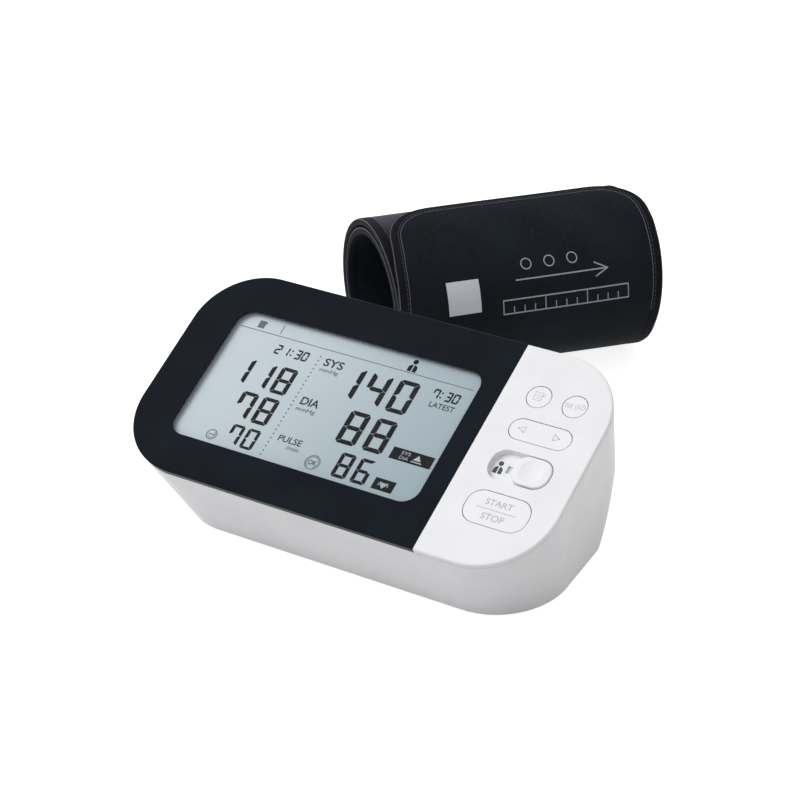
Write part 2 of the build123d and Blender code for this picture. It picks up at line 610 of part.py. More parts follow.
def make_key_mat():
    """Rubber mat on the board with a plunger under each key."""
    places = [MEMORY_KEY, CONNECT_KEY, START_KEY]
    places += [(SCROLL_KEY[0] + side * SCROLL_LENGTH / 3, SCROLL_KEY[1]) for side in (-1, 1)]
    left = min(x for x, v in places) - PLUNGER_DIAMETER / 2 - MAT_MARGIN
    right = max(x for x, v in places) + PLUNGER_DIAMETER / 2 + MAT_MARGIN
    front = min(v for x, v in places) - PLUNGER_DIAMETER / 2 - MAT_MARGIN
    rear = max(v for x, v in places) + PLUNGER_DIAMETER / 2 + MAT_MARGIN
    mat = face_box(left, right, front, rear, BOARD_DEPTH - MAT_THICKNESS, BOARD_DEPTH)
    top = FACE_THICKNESS + FIT + KEY_FLANGE_THICKNESS + KEY_TRAVEL + PLUNGER_GAP
    for place in places:
        mat += face_pin(place, PLUNGER_DIAMETER, top, BOARD_DEPTH)
    long, wide = [size / 2 + FIT for size in SWITCH_SIZE]
    x, v = DISH_CENTRE
    mat -= face_box(x - long, x + long, v - wide, v + wide, 0, BOARD_DEPTH)
    for place in BOARD_SCREW_PLACES:
        mat -= face_pin(place, BOSS_DIAMETER + 2 * FIT, 0, 2 * BOARD_DEPTH)
    for place in POST_PLACES:
        mat -= face_pin(place, POST_DIAMETER + 2 * FIT, 0, 2 * BOARD_DEPTH)
    return mat


def make_slide_switch():
    """Slide switch on the board below the knob's stem."""
    long, wide = SWITCH_SIZE
    x, v = DISH_CENTRE
    top = DISH_DEPTH + STEM_REACH + FIT
    return face_box(x - long / 2, x + long / 2, v - wide / 2, v + wide / 2, top, BOARD_DEPTH)


def screw(head_plane, length):
    """Slotted pan head screw: head below its seat, shank along the seat's normal."""
    head = extrude(head_plane * Circle(SCREW_HEAD_DIAMETER / 2), -SCREW_HEAD_HEIGHT)
    slot = head_plane * Pos(0, 0, -SCREW_HEAD_HEIGHT) * Rectangle(SCREW_HEAD_DIAMETER, SCREW_SLOT)
    head -= extrude(slot, SCREW_SLOT)
    return head + extrude(head_plane * Circle(SCREW_DIAMETER / 2 - FIT / 2), length)


def make_case_screws():
    """Screws through the towers into the posts of the upper case."""
    seat = POST_END + CRADLE_THICKNESS
    return [screw(FACE.offset(-seat) * Pos(*place), CASE_SCREW_LENGTH) for place in POST_PLACES]


def make_board_screws():
    """Screws that hold the board on the bosses of the upper case."""
    seat = BOARD_DEPTH + BOARD_THICKNESS
    length = BOARD_SCREW_LENGTH - FIT
    return [screw(FACE.offset(-seat) * Pos(*place), length) for place in BOARD_SCREW_PLACES]


def cell_x(index):
    """Centre of a cell across the bay."""
    return BAY_X + (index - (CELL_COUNT - 1) / 2) * CELL_PITCH


def make_cells():
    """AA cells side by side, every second one turned round."""
    cells = []
    for index in range(CELL_COUNT):
        radius, nub = CELL_DIAMETER / 2, CELL_NUB_DIAMETER / 2
        barrel = CELL_LENGTH - CELL_NUB_LENGTH
        corners = [(0, 0), (radius, 0), (radius, barrel), (nub, barrel), (nub, CELL_LENGTH), (0, CELL_LENGTH)]
        cell = revolve(make_face(Plane.XY * Polyline(*corners, close=True)), Axis.Y)
        cell = Pos(0, -CELL_LENGTH / 2, 0) * cell
        turned = Rot(0, 0, 180 * (index % 2)) * cell
        shift = (SPRING_ROOM / 2 - CONTACT_THICKNESS) * (1 if index % 2 == 0 else -1)
        cells.append(Pos(cell_x(index), BAY_CENTRE_Y + shift, CELL_Z) * turned)
    return cells


def make_contacts():
    """Contact plates at both ends of each cell, a conical spring on the flat end."""
    contacts = []
    high = CELL_DIAMETER / 3
    for index in range(CELL_COUNT):
        side = 1 if index % 2 == 0 else -1
        x = cell_x(index)
        for end in (-1, 1):
            y = BAY_CENTRE_Y + end * (BAY_HALF_Y - CONTACT_THICKNESS / 2)
            plate = Pos(x, y, CELL_Z) * Box(2 * high, CONTACT_THICKNESS, 2 * high)
            if end == -side:
                gap = SPRING_ROOM - 2 * CONTACT_THICKNESS
                foot = Plane(origin=(x, y - end * CONTACT_THICKNESS / 2, CELL_Z), z_dir=(0, -end, 0))
                plate += Solid.make_cone(high, high / 2, gap, foot)
            contacts.append(plate)
    return contacts


def make_cover():
    """Battery cover: flat plate, rounded about its hinge line, with a latch and grip ribs."""
    x0, x1 = BAY_X - COVER_HALF_X, BAY_X + COVER_HALF_X
    rear = BAY_CENTRE_Y + COVER_HALF_Y
    cover = upright_box(x0, x1, HINGE_Y, rear, FOOT_HEIGHT, COVER_TOP)
    cover += rod((x0, HINGE_Y, HINGE_Z), (x1, HINGE_Y, HINGE_Z), COVER_THICKNESS)
    latch_y = BAY_CENTRE_Y + BAY_HALF_Y + COVER_GAP
    cover += upright_box(BAY_X - LATCH_WIDTH / 2, BAY_X + LATCH_WIDTH / 2, latch_y, latch_y + LATCH_THICKNESS,
                         HINGE_Z, COVER_TOP + LATCH_HEIGHT)
    for index in range(GRIP_COUNT):
        y = rear - COVER_RIM - GRIP_PITCH * (index + 1)
        cover -= upright_box(BAY_X - GRIP_LENGTH / 2, BAY_X + GRIP_LENGTH / 2, y, y + GRIP_PITCH / 2,
                             FOOT_HEIGHT - CUT, FOOT_HEIGHT + COVER_THICKNESS / 4)
    return cover


def make_feet():
    """Rubber feet in their shallow seats."""
    return [rod((x, y, 0), (x, y, FOOT_HEIGHT + FOOT_SINK), FOOT_DIAMETER) for x, y in FOOT_PLACES]


def make_air_jack():
    """Socket for the hose plug, with a flange outside and a tube spigot inside."""
    mouth = JACK_X - JACK_FLANGE / 2
    end = JACK_X + JACK_LENGTH
    jack = jack_rod(JACK_X, end, JACK_DIAMETER)
    jack += jack_rod(mouth, JACK_X, JACK_DIAMETER + JACK_FLANGE)
    jack += jack_rod(end, end + SPIGOT_LENGTH, SPIGOT_DIAMETER)
    jack -= jack_rod(mouth - CUT, mouth + JACK_BORE_LENGTH, 2 * JACK_BORE)
    return jack - jack_rod(JACK_X, end + SPIGOT_LENGTH + CUT, 2 * SPIGOT_BORE)


def make_power_jack():
    """Round power socket with its centre pin and the block behind the wall."""
    mouth = UNIT_DEPTH - POWER_RECESS
    wide, deep, tall = POWER_BODY
    inner = UNIT_DEPTH - WALL - FIT
    jack = rod((POWER_X, inner - deep / 2, POWER_Z), (POWER_X, mouth, POWER_Z), POWER_DIAMETER)
    block = upright_box(POWER_X - wide / 2, POWER_X + wide / 2, inner - deep, inner, POWER_Z - tall / 2,
                        POWER_Z + tall / 2)
    jack += block & body_form(WALL + FIT)
    floor = mouth - POWER_BORE_LENGTH
    jack -= rod((POWER_X, floor, POWER_Z), (POWER_X, mouth + CUT, POWER_Z), 2 * POWER_BORE)
    tip = mouth - POWER_PIN_SINK
    return jack + rod((POWER_X, floor - CUT, POWER_Z), (POWER_X, tip, POWER_Z), 2 * POWER_PIN)


def make_pump():
    """Motor with its bearing cap, pump head with its outlet, and the motor's rubber cushions."""
    motor_end = PUMP_X - MOTOR_LENGTH
    motor = rod((motor_end, PUMP_Y, PUMP_Z), (PUMP_X, PUMP_Y, PUMP_Z), MOTOR_DIAMETER)
    cap_end = PUMP_X + MOTOR_SHAFT_LENGTH
    motor += rod((PUMP_X, PUMP_Y, PUMP_Z), (cap_end, PUMP_Y, PUMP_Z), MOTOR_SHAFT_DIAMETER)
    half = PUMP_HEAD_SIZE / 2
    head = upright_box(motor_end - PUMP_HEAD_LENGTH, motor_end, PUMP_Y - half, PUMP_Y + half, PUMP_Z - half,
                       PUMP_Z + half)
    head = fillet(head.edges().filter_by(Axis.X), half / 3)
    outlet = pump_outlet()
    head += rod(outlet, (outlet[0] + SPIGOT_LENGTH, PUMP_Y, PUMP_Z), SPIGOT_DIAMETER)
    cushions = []
    for x in cradle_places():
        ends = ((x - CUSHION_LENGTH / 2, PUMP_Y, PUMP_Z), (x + CUSHION_LENGTH / 2, PUMP_Y, PUMP_Z))
        ring = rod(*ends, MOTOR_DIAMETER + 2 * CUSHION_THICKNESS) - rod(*ends, MOTOR_DIAMETER)
        cushions.append(ring)
    return motor, head, cushions


def pump_outlet():
    """Tip of the pump head's outlet spigot."""
    return (PUMP_X - MOTOR_LENGTH - PUMP_HEAD_LENGTH - SPIGOT_LENGTH, PUMP_Y, PUMP_Z)


def make_manifold():
    """Block that joins the tubes from the jack, the pump and the sensor."""
    long, wide, tall = MANIFOLD_SIZE
    block = Pos(SENSOR_PLACE[0], PUMP_Y, PUMP_Z) * Box(long, wide, tall)
    return chamfer(block.edges().filter_by(Axis.Z), tall / 8)


def make_valve():
    """Exhaust valve on the manifold's outer face: coil can with a stepped cap."""
    face_x = SENSOR_PLACE[0] - MANIFOLD_SIZE[0] / 2
    step = VALVE_LENGTH / 4
    end_x = face_x - VALVE_LENGTH
    can = rod((end_x + step, PUMP_Y, PUMP_Z), (face_x, PUMP_Y, PUMP_Z), VALVE_DIAMETER)
    return can + rod((end_x, PUMP_Y, PUMP_Z), (end_x + step, PUMP_Y, PUMP_Z), VALVE_DIAMETER / 2)


def tube(points):
    """Inner air tube along straight runs joined by arcs as large as the runs allow."""
    corners = [Vector(*point) for point in points]
    radii = []
    for before, at, after in zip(corners, corners[1:], corners[2:]):
        run = min((at - before).length, (after - at).length)
        radii.append(TUBE_ARC_SHARE * run / tan(radians((at - before).get_angle(after - at)) / 2))
    path = FilletPolyline(*points, radius=radii)
    return sweep(Plane(origin=path @ 0, z_dir=path % 0) * Circle(TUBE_DIAMETER / 2), path=path)


def make_tubes():
    """Tubes from the jack, the pump head and the pressure sensor to the manifold."""
    x = SENSOR_PLACE[0]
    front = PUMP_Y - MANIFOLD_SIZE[1] / 2
    top = PUMP_Z + MANIFOLD_SIZE[2] / 2
    jack = (JACK_X + JACK_LENGTH + SPIGOT_LENGTH, JACK_Y, JACK_Z)
    nipple = FACE.from_local_coords((x, SENSOR_PLACE[1], -sensor_end()))
    drop = (PUMP_Y - nipple.Y) / sin(TILT) * cos(TILT)
    return [
        tube([jack, (x, JACK_Y, JACK_Z), (x, (JACK_Y + front) / 2, PUMP_Z), (x, front, PUMP_Z)]),
        rod(pump_outlet(), (x + MANIFOLD_SIZE[0] / 2, PUMP_Y, PUMP_Z), TUBE_DIAMETER),
        tube([tuple(nipple), (x, PUMP_Y, nipple.Z - drop), (x, PUMP_Y, top)]),
    ]


# Rolled cuff: every layer is cut from the same chain of tangent arcs
CUFF_AXIS = Vector(cos(radians(CUFF_TURN)), sin(radians(CUFF_TURN)), 0)
CUFF_OUTWARD = Vector(sin(radians(CUFF_TURN)), -cos(radians(CUFF_TURN)), 0)
CUFF_THICKNESS = 2 * CLOTH_THICKNESS + BLADDER_THICKNESS + CURLER_THICKNESS


def roll_arcs():
    """Centre, radius, start angle and sweep of each arc of the roll's inner side."""
    angle = -SIDE_SWEEP / 2
    centre = Vector((TOP_RADIUS - SIDE_RADIUS) * cos(radians(angle)), 0, 0)
    arcs = []
    for index in range(ROLL_ARCS):
        is_top = index % 2 == 1
        radius = TOP_RADIUS + TOP_GROWTH * index / 4 if is_top else SIDE_RADIUS + SIDE_GROWTH * index / 4
        span = 180 - SIDE_SWEEP if is_top else SIDE_SWEEP
        if index == ROLL_ARCS - 1:
            span = FLAP_SWEEP
        if arcs:
            centre = centre + Vector(cos(radians(angle)), sin(radians(angle)), 0) * (arcs[-1][1] - radius)
        arcs.append((centre, radius, angle, span))
        angle += span
    return arcs


def roll_bottom():
    """Height of the roll's middle above the table, from its lowest arc."""
    lowest = [centre.Y - radius for centre, radius, angle, span in roll_arcs()[3::4]]
    return CUFF_THICKNESS - min(lowest)


def cuff_plane(along):
    """Plane of the roll's section at a place along its axis: X outward, Y up."""
    foot = Vector(CUFF_PLACE[0], CUFF_PLACE[1], roll_bottom())
    return Plane(origin=foot + CUFF_AXIS * along, x_dir=CUFF_OUTWARD, z_dir=CUFF_AXIS * -1)


def arc_point(centre, radius, angle):
    """Point on an arc of the roll's section."""
    return centre + Vector(cos(radians(angle)), sin(radians(angle)), 0) * radius


def roll_strip(inner, outer, start, stop, first, last):
    """Strip of the roll between two offsets, two places along its axis and two arcs."""
    arcs = roll_arcs()[first:last]
    edges = []
    for centre, radius, angle, span in arcs:
        turns = [angle, angle + span / 2, angle + span]
        edges.append(ThreePointArc(*[arc_point(centre, radius + outer, turn) for turn in turns]))
    centre, radius, angle, span = arcs[-1]
    end = angle + span
    edges.append(Line(arc_point(centre, radius + outer, end), arc_point(centre, radius + inner, end)))
    for centre, radius, angle, span in reversed(arcs):
        turns = [angle + span, angle + span / 2, angle]
        edges.append(ThreePointArc(*[arc_point(centre, radius + inner, turn) for turn in turns]))
    centre, radius, angle, span = arcs[0]
    edges.append(Line(arc_point(centre, radius + inner, angle), arc_point(centre, radius + outer, angle)))
    return extrude(cuff_plane(stop) * Face(Wire(edges)), stop - start)


def flap_block(inset):
    """Block that keeps the flap's panel, with rounded corners, drawn in by an inset."""
    turn = radians(FLAP_VIEW)
    centre, radius, angle, span = roll_arcs()[-1]
    tip = arc_point(centre, radius + CUFF_THICKNESS, angle + span)
    reach = tip.X * -sin(turn) + tip.Y * cos(turn) - inset
    section = cuff_plane(CUFF_WIDTH / 2)
    outward = section.x_dir * cos(turn) + Vector(0, 0, 1) * sin(turn)
    view = Plane(origin=section.origin, x_dir=CUFF_AXIS, z_dir=outward)
    low = 3 * TOP_RADIUS
    shape = RectangleRounded(CUFF_WIDTH - 2 * inset, reach + low, FLAP_CORNER - inset)
    return extrude(view * Pos(0, (reach - low) / 2) * shape, low, both=True)


def layer(inner, outer, last=ROLL_ARCS):
    """Layer of the cuff between its edge bindings, up to an arc, with the flap's corners rounded."""
    body = roll_strip(inner, outer, BINDING_WIDTH, CUFF_WIDTH - BINDING_WIDTH, 0, min(last, FLAP_ARC))
    if last > FLAP_ARC:
        flap = roll_strip(inner, outer, BINDING_WIDTH, CUFF_WIDTH - BINDING_WIDTH, FLAP_ARC, last)
        body += flap & flap_block(BINDING_WIDTH)
    return body


def make_binding():
    """Woven binding along both long edges and round the flap's end."""
    flap = roll_strip(0, CUFF_THICKNESS, 0, CUFF_WIDTH, FLAP_ARC, ROLL_ARCS)
    binding = (flap & flap_block(0)) - flap_block(BINDING_WIDTH)
    for start in (0, CUFF_WIDTH - BINDING_WIDTH):
        binding += roll_strip(0, CUFF_THICKNESS, start, start + BINDING_WIDTH, 0, FLAP_ARC)
    return binding


def make_hook_patch():
    """Hook fastener patch on the inner side of the flap."""
    edge = BINDING_WIDTH + HOOK_MARGIN
    patch = roll_strip(-HOOK_THICKNESS, 0, edge, CUFF_WIDTH - edge, FLAP_ARC, ROLL_ARCS)
    return patch & flap_block(edge)


def make_gland():
    """Hose gland at the roll's right end: flange on the binding, nozzle with its bore."""
    centre, radius, angle, span = roll_arcs()[GLAND_ARC]
    middle = arc_point(centre, radius + CUFF_THICKNESS / 2, angle + span / 2)
    foot = cuff_plane(CUFF_WIDTH).from_local_coords((middle.X, middle.Y, 0))
    tip = foot + CUFF_AXIS * GLAND_LENGTH
    gland = rod(foot, tip, GLAND_DIAMETER)
    gland += rod(foot, foot + CUFF_AXIS * GLAND_FLANGE, GLAND_DIAMETER + 2 * GLAND_FLANGE)
    return gland - rod(tip - CUFF_AXIS * GLAND_BORE_LENGTH, tip + CUFF_AXIS, 2 * GLAND_BORE)


def make_cuff():
    """Pieces of the cuff, from the arm's side outward, and its binding, patch and gland."""
    bladder_in = CLOTH_THICKNESS
    curler_in = bladder_in + BLADDER_THICKNESS
    cover_in = curler_in + CURLER_THICKNESS
    return {
        "cuff_inner_cloth": layer(0, bladder_in),
        "cuff_bladder": layer(bladder_in, curler_in, BLADDER_ARCS),
        "cuff_curler": layer(curler_in, cover_in, CURLER_ARCS),
        "cuff_outer_cloth": layer(cover_in, CUFF_THICKNESS),
        "cuff_binding": make_binding(),
        "cuff_hook_patch": make_hook_patch(),
        "cuff_hose_gland": make_gland(),
    }


def joined(shape):
    """One compound of separate solids, or the single solid itself."""
    return Compound(children=list(shape)) if isinstance(shape, list) else shape


def main():
    """Build every piece, move the origin to the bottom centre and write the files."""
    motor, head, cushions = make_pump()
    pieces = {
        "lower_case": make_lower_case(),
        "upper_case": make_upper_case(),
        "display_bezel": make_bezel(),
        "display_window": make_window(),
        "lcd_panel": make_lcd(),
        "lcd_holder": make_lcd_holder(),
        "lcd_connector": strip_slot(0),
        "start_stop_button": make_key("start"),
        "memory_button": make_key("memory"),
        "connect_button": make_key("connect"),
        "scroll_button": make_key("scroll"),
        "user_slide_knob": make_slide_knob(),
        "slide_switch": make_slide_switch(),
        "key_mat": make_key_mat(),
        "main_board": make_board(),
        "board_chips": make_chips(),
        "wireless_module": below_board(RADIO_PLACE, RADIO_SIZE),
        "pressure_sensor": make_sensor(),
        "case_screws": make_case_screws(),
        "board_screws": make_board_screws(),
        "batteries": make_cells(),
        "battery_contacts": make_contacts(),
        "battery_cover": make_cover(),
        "feet": make_feet(),
        "air_jack": make_air_jack(),
        "power_jack": make_power_jack(),
        "pump_motor": motor,
        "pump_head": head,
        "pump_cushions": cushions,
        "air_manifold": make_manifold(),
        "exhaust_valve": make_valve(),
        "air_tubes": make_tubes(),
        **make_cuff(),
    }
    os.makedirs("parts", exist_ok=True)
    solids = {name: joined(shape) for name, shape in pieces.items()}
    boxes = [solid.bounding_box() for solid in solids.values()]
    low = Vector(*[min(getattr(box.min, axis) for box in boxes) for axis in "XYZ"])
    high = Vector(*[max(getattr(box.max, axis) for box in boxes) for axis in "XYZ"])
    shift = Vector((low.X + high.X) / 2, (low.Y + high.Y) / 2, low.Z) * -1
    for name, solid in solids.items():
        export_step(Pos(*shift) * solid, f"parts/{name}.step")
    print("moved by", shift)


if __name__ == "__main__":
    main()
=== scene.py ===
"""Looks of an upper arm blood pressure monitor: a table unit with its arm cuff rolled up behind it."""
import logging
import math
from collections.abc import Callable, Sequence
from dataclasses import dataclass, field
from enum import Enum
from typing import NamedTuple

import bmesh
import bpy
import numpy as np
from mathutils import Matrix, Vector
from mathutils.bvhtree import BVHTree


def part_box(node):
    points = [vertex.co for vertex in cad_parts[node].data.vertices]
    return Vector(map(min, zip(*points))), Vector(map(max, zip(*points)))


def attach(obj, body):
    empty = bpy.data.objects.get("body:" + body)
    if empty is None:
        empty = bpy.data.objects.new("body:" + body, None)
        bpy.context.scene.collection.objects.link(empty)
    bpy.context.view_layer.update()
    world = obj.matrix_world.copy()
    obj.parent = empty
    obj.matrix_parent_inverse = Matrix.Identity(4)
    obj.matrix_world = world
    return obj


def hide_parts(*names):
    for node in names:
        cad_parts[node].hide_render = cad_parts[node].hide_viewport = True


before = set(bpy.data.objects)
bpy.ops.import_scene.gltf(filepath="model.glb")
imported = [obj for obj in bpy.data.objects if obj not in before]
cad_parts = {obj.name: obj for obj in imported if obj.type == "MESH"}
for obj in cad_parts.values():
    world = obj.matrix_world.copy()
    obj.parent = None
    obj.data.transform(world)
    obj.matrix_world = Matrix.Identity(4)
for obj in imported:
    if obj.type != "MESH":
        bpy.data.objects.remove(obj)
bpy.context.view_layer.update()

LOG = logging.getLogger("monitor")
MM = 0.001

Colour = tuple[float, float, float, float]
Triple = tuple[float, float, float]
Flat = tuple[float, float]
Box = tuple[float, float, float, float]
Place = Callable[[float, float], Vector]


class Slot(Enum):
    """Material slots of the record that new pieces take their finish from."""

    CRYSTAL = "liquid_crystal"
    KEYS = "key_plastic"
    CASE = "white_plastic"
    CLOTH = "cuff_cloth"
    EDGING = "cuff_edging"
    HOOKS = "hook_cloth"
    BLADDER = "bladder_rubber"
    CURLER = "curler_sheet"


class Body(Enum):
    """Moving bodies that new pieces ride on."""

    BASE = "base"
    START = "start_stop_button"
    MEMORY = "memory_button"
    CONNECT = "connect_button"
    SLIDE = "user_slide_knob"
    SCROLL = "scroll_button"
    CUFF = "cuff"


def shade(red: float, green: float, blue: float) -> Colour:
    """Turns a colour of 0 to 255 as seen on a screen into the linear colour of a shader socket.

    Args:
        red: Red, 0 to 255.
        green: Green, 0 to 255.
        blue: Blue, 0 to 255.

    Returns:
        The linear colour with an alpha of one.
    """
    linear = [((c / 255 + 0.055) / 1.055) ** 2.4 if c > 10 else c / 255 / 12.92 for c in (red, green, blue)]
    return (linear[0], linear[1], linear[2], 1.0)


def quarter_turn(count: int) -> list[float]:
    """Gives the angles of a quarter turn in even steps."""
    return [math.radians(90.0 * k / count) for k in range(count + 1)]


@dataclass
class Graph:
    """Adds nodes to one node tree and joins them."""

    tree: bpy.types.NodeTree

    def feed(self, node: bpy.types.Node, **inputs: object) -> bpy.types.Node:
        """Sets or links inputs of a node.

        Args:
            node: The node.
            inputs: Values or feeding sockets by input name, with _ for a space, or i and a number.

        Returns:
            The same node.
        """
        for name, value in inputs.items():
            key = int(name[1:]) if name[0] == "i" and name[1:].isdigit() else name.replace("_", " ")
            if isinstance(value, bpy.types.NodeSocket):
                self.tree.links.new(value, node.inputs[key])
            else:
                node.inputs[key].default_value = value
        return node

    def add(self, kind: str, settings: dict[str, object] | None = None, **inputs: object) -> bpy.types.Node:
        """Adds one node.

        Args:
            kind: Node type without ShaderNode in front.
            settings: Node properties by name.
            inputs: Inputs in the way of feed.

        Returns:
            The new node.
        """
        node = self.tree.nodes.new("ShaderNode" + kind)
        for name, value in (settings or {}).items():
            setattr(node, name, value)
        return self.feed(node, **inputs)

    def math(self, operation: str, first: object, second: object = 0.0, third: object = 0.0,
             clamp: bool = False) -> bpy.types.NodeSocket:
        """Adds a math node.

        Args:
            operation: Math operation.
            first: First value or socket.
            second: Second value or socket.
            third: Third value or socket, which only some operations read.
            clamp: Whether the result stays within 0 and 1.

        Returns:
            The node's result.
        """
        settings = {"operation": operation, "use_clamp": clamp}
        return self.add("Math", settings, i0=first, i1=second, i2=third).outputs[0]

    def mix(self, factor: object, first: object, second: object) -> bpy.types.NodeSocket:
        """Mixes two colours.

        Args:
            factor: Share of the second colour.
            first: First colour or socket.
            second: Second colour or socket.

        Returns:
            The mixed colour.
        """
        return self.add("Mix", {"data_type": "RGBA"}, i0=factor, i6=first, i7=second).outputs[2]

    def ramp(self, value: bpy.types.NodeSocket, low: float, high: float) -> bpy.types.NodeSocket:
        """Maps a value smoothly to 0 at low and 1 at high."""
        settings = {"interpolation_type": "SMOOTHSTEP"}
        return self.add("MapRange", settings, Value=value, i1=low, i2=high).outputs[0]

    def place(self) -> bpy.types.NodeSocket:
        """Gives the object's own coordinates."""
        return self.add("TexCoord").outputs["Object"]

    def noise(self, **inputs: object) -> bpy.types.NodeSocket:
        """Adds noise on the object's own coordinates, unless others are given."""
        return self.add("TexNoise", **{"Vector": self.place(), **inputs}).outputs[0]


class Effects:
    """Shader node groups that several finishes share, each built once."""

    CLOUD = (0.3, 0.75)
    RUBBED_EDGE = (0.52, 0.62)
    RUBBED_PATCH = (0.35, 0.7)
    FACING_UP = (0.2, 1.0)
    SPECKS = (0.5, 0.75)

    def __init__(self) -> None:
        """Builds every group."""
        self.grain = self.build_grain()
        self.mottle = self.build_mottle()
        self.wear = self.build_wear()
        self.dust = self.build_dust()
        self.weave = self.build_weave()

    def start(self, name: str, inputs: dict[str, object],
              outputs: dict[str, str]) -> tuple[Graph, bpy.types.NodeOutputs, bpy.types.Node]:
        """Starts a node group.

        Args:
            name: Name of the group.
            inputs: Default value of each input by name.
            outputs: Socket type of each output by name, without NodeSocket in front.

        Returns:
            The graph, the sockets of its inputs and its output node.
        """
        tree = bpy.data.node_groups.new(name, "ShaderNodeTree")
        for label, value in inputs.items():
            kind = "NodeSocketColor" if isinstance(value, tuple) else "NodeSocketFloat"
            tree.interface.new_socket(label, in_out="INPUT", socket_type=kind).default_value = value
        for label, kind in outputs.items():
            tree.interface.new_socket(label, in_out="OUTPUT", socket_type="NodeSocket" + kind)
        return Graph(tree), tree.nodes.new("NodeGroupInput").outputs, tree.nodes.new("NodeGroupOutput")

    def build_grain(self) -> bpy.types.NodeTree:
        """Builds the fine spark-eroded grain of a mould."""
        graph, source, sink = self.start(
            "mould_grain", {"Scale": 1500.0, "Depth": 0.00001}, {"Mask": "Float", "Normal": "Vector"})
        fine = graph.noise(Scale=source["Scale"], Detail=3.0, Roughness=0.6)
        bump = graph.add("Bump", Height=fine, Distance=source["Depth"])
        graph.feed(sink, Mask=fine, Normal=bump.outputs[0])
        return graph.tree

    def build_mottle(self) -> bpy.types.NodeTree:
        """Builds the faint cloudy change of colour of a moulded or dyed surface."""
        graph, source, sink = self.start(
            "faint_mottle", {"Colour": (0.8,) * 3 + (1.0,), "Shade": (0.6,) * 3 + (1.0,), "Scale": 60.0},
            {"Colour": "Color"})
        mask = graph.ramp(graph.noise(Scale=source["Scale"], Detail=4.0), *self.CLOUD)
        graph.feed(sink, Colour=graph.mix(mask, source["Colour"], source["Shade"]))
        return graph.tree

    def build_wear(self) -> bpy.types.NodeTree:
        """Builds the mask of edges that hands have rubbed."""
        graph, source, sink = self.start("rubbed_edges", {"Amount": 0.3}, {"Mask": "Float"})
        patch = graph.ramp(graph.noise(Scale=140.0, Detail=5.0), *self.RUBBED_PATCH)
        edge = graph.ramp(graph.add("NewGeometry").outputs["Pointiness"], *self.RUBBED_EDGE)
        mask = graph.math("MULTIPLY", edge, patch)
        graph.feed(sink, Mask=graph.math("MULTIPLY", mask, source["Amount"]))
        return graph.tree

    def build_dust(self) -> bpy.types.NodeTree:
        """Builds the mask of fine dust that settles on what faces up."""
        graph, source, sink = self.start("settled_dust", {"Amount": 0.1}, {"Mask": "Float"})
        specks = graph.ramp(graph.noise(Scale=420.0, Detail=6.0, Roughness=0.7), *self.SPECKS)
        facing = graph.add("SeparateXYZ", i0=graph.add("NewGeometry").outputs["Normal"]).outputs[2]
        mask = graph.math("MULTIPLY", graph.ramp(facing, *self.FACING_UP), specks)
        graph.feed(sink, Mask=graph.math("MULTIPLY", mask, source["Amount"]))
        return graph.tree

    def build_weave(self) -> bpy.types.NodeTree:
        """Builds woven threads from coordinates in metres along and across the cloth."""
        graph, source, sink = self.start(
            "woven_threads", {"Pitch": 0.0006, "Depth": 0.00004, "Pile": 0.3},
            {"Mask": "Float", "Normal": "Vector"})
        spot = graph.add("SeparateXYZ", i0=graph.add("TexCoord").outputs["UV"]).outputs
        turns = graph.math("DIVIDE", 2 * math.pi, source["Pitch"])
        along, across = (graph.math("SINE", graph.math("MULTIPLY", spot[k], turns)) for k in range(2))
        woven = graph.math("MULTIPLY_ADD", graph.math("MULTIPLY", along, across), 0.5, 0.5)
        loops = graph.noise(Scale=1900.0, Detail=4.0, Roughness=0.75)
        mixed = graph.add("Mix", i0=source["Pile"], i2=woven, i3=loops).outputs[0]
        bump = graph.add("Bump", Height=mixed, Distance=source["Depth"])
        graph.feed(sink, Mask=mixed, Normal=bump.outputs[0])
        return graph.tree


class Canvas(Graph):
    """Nodes of a new material, with its one Principled shader and the shared effects."""

    def __init__(self, name: str, effects: Effects) -> None:
        """Starts the material.

        Args:
            name: Name of the material.
            effects: Shared node groups.
        """
        self.material = bpy.data.materials.new(name)
        self.material.use_nodes = True
        super().__init__(self.material.node_tree)
        self.shader = self.tree.nodes["Principled BSDF"]
        self.effects = effects

    def use(self, group: bpy.types.NodeTree, **inputs: object) -> bpy.types.NodeOutputs:
        """Places a shared node group and gives its outputs."""
        return self.add("Group", {"node_tree": group}, **inputs).outputs


class Finish:
    """Base of every finish."""

    name: str

    def material(self, effects: Effects) -> bpy.types.Material:
        """Builds the material.

        Args:
            effects: Shared node groups.

        Returns:
            The material.
        """
        canvas = Canvas(self.name, effects)
        self.paint(canvas)
        return canvas.material

    def paint(self, canvas: Canvas) -> None:
        """Joins the nodes of the finish, in each finish's own way."""
        raise NotImplementedError


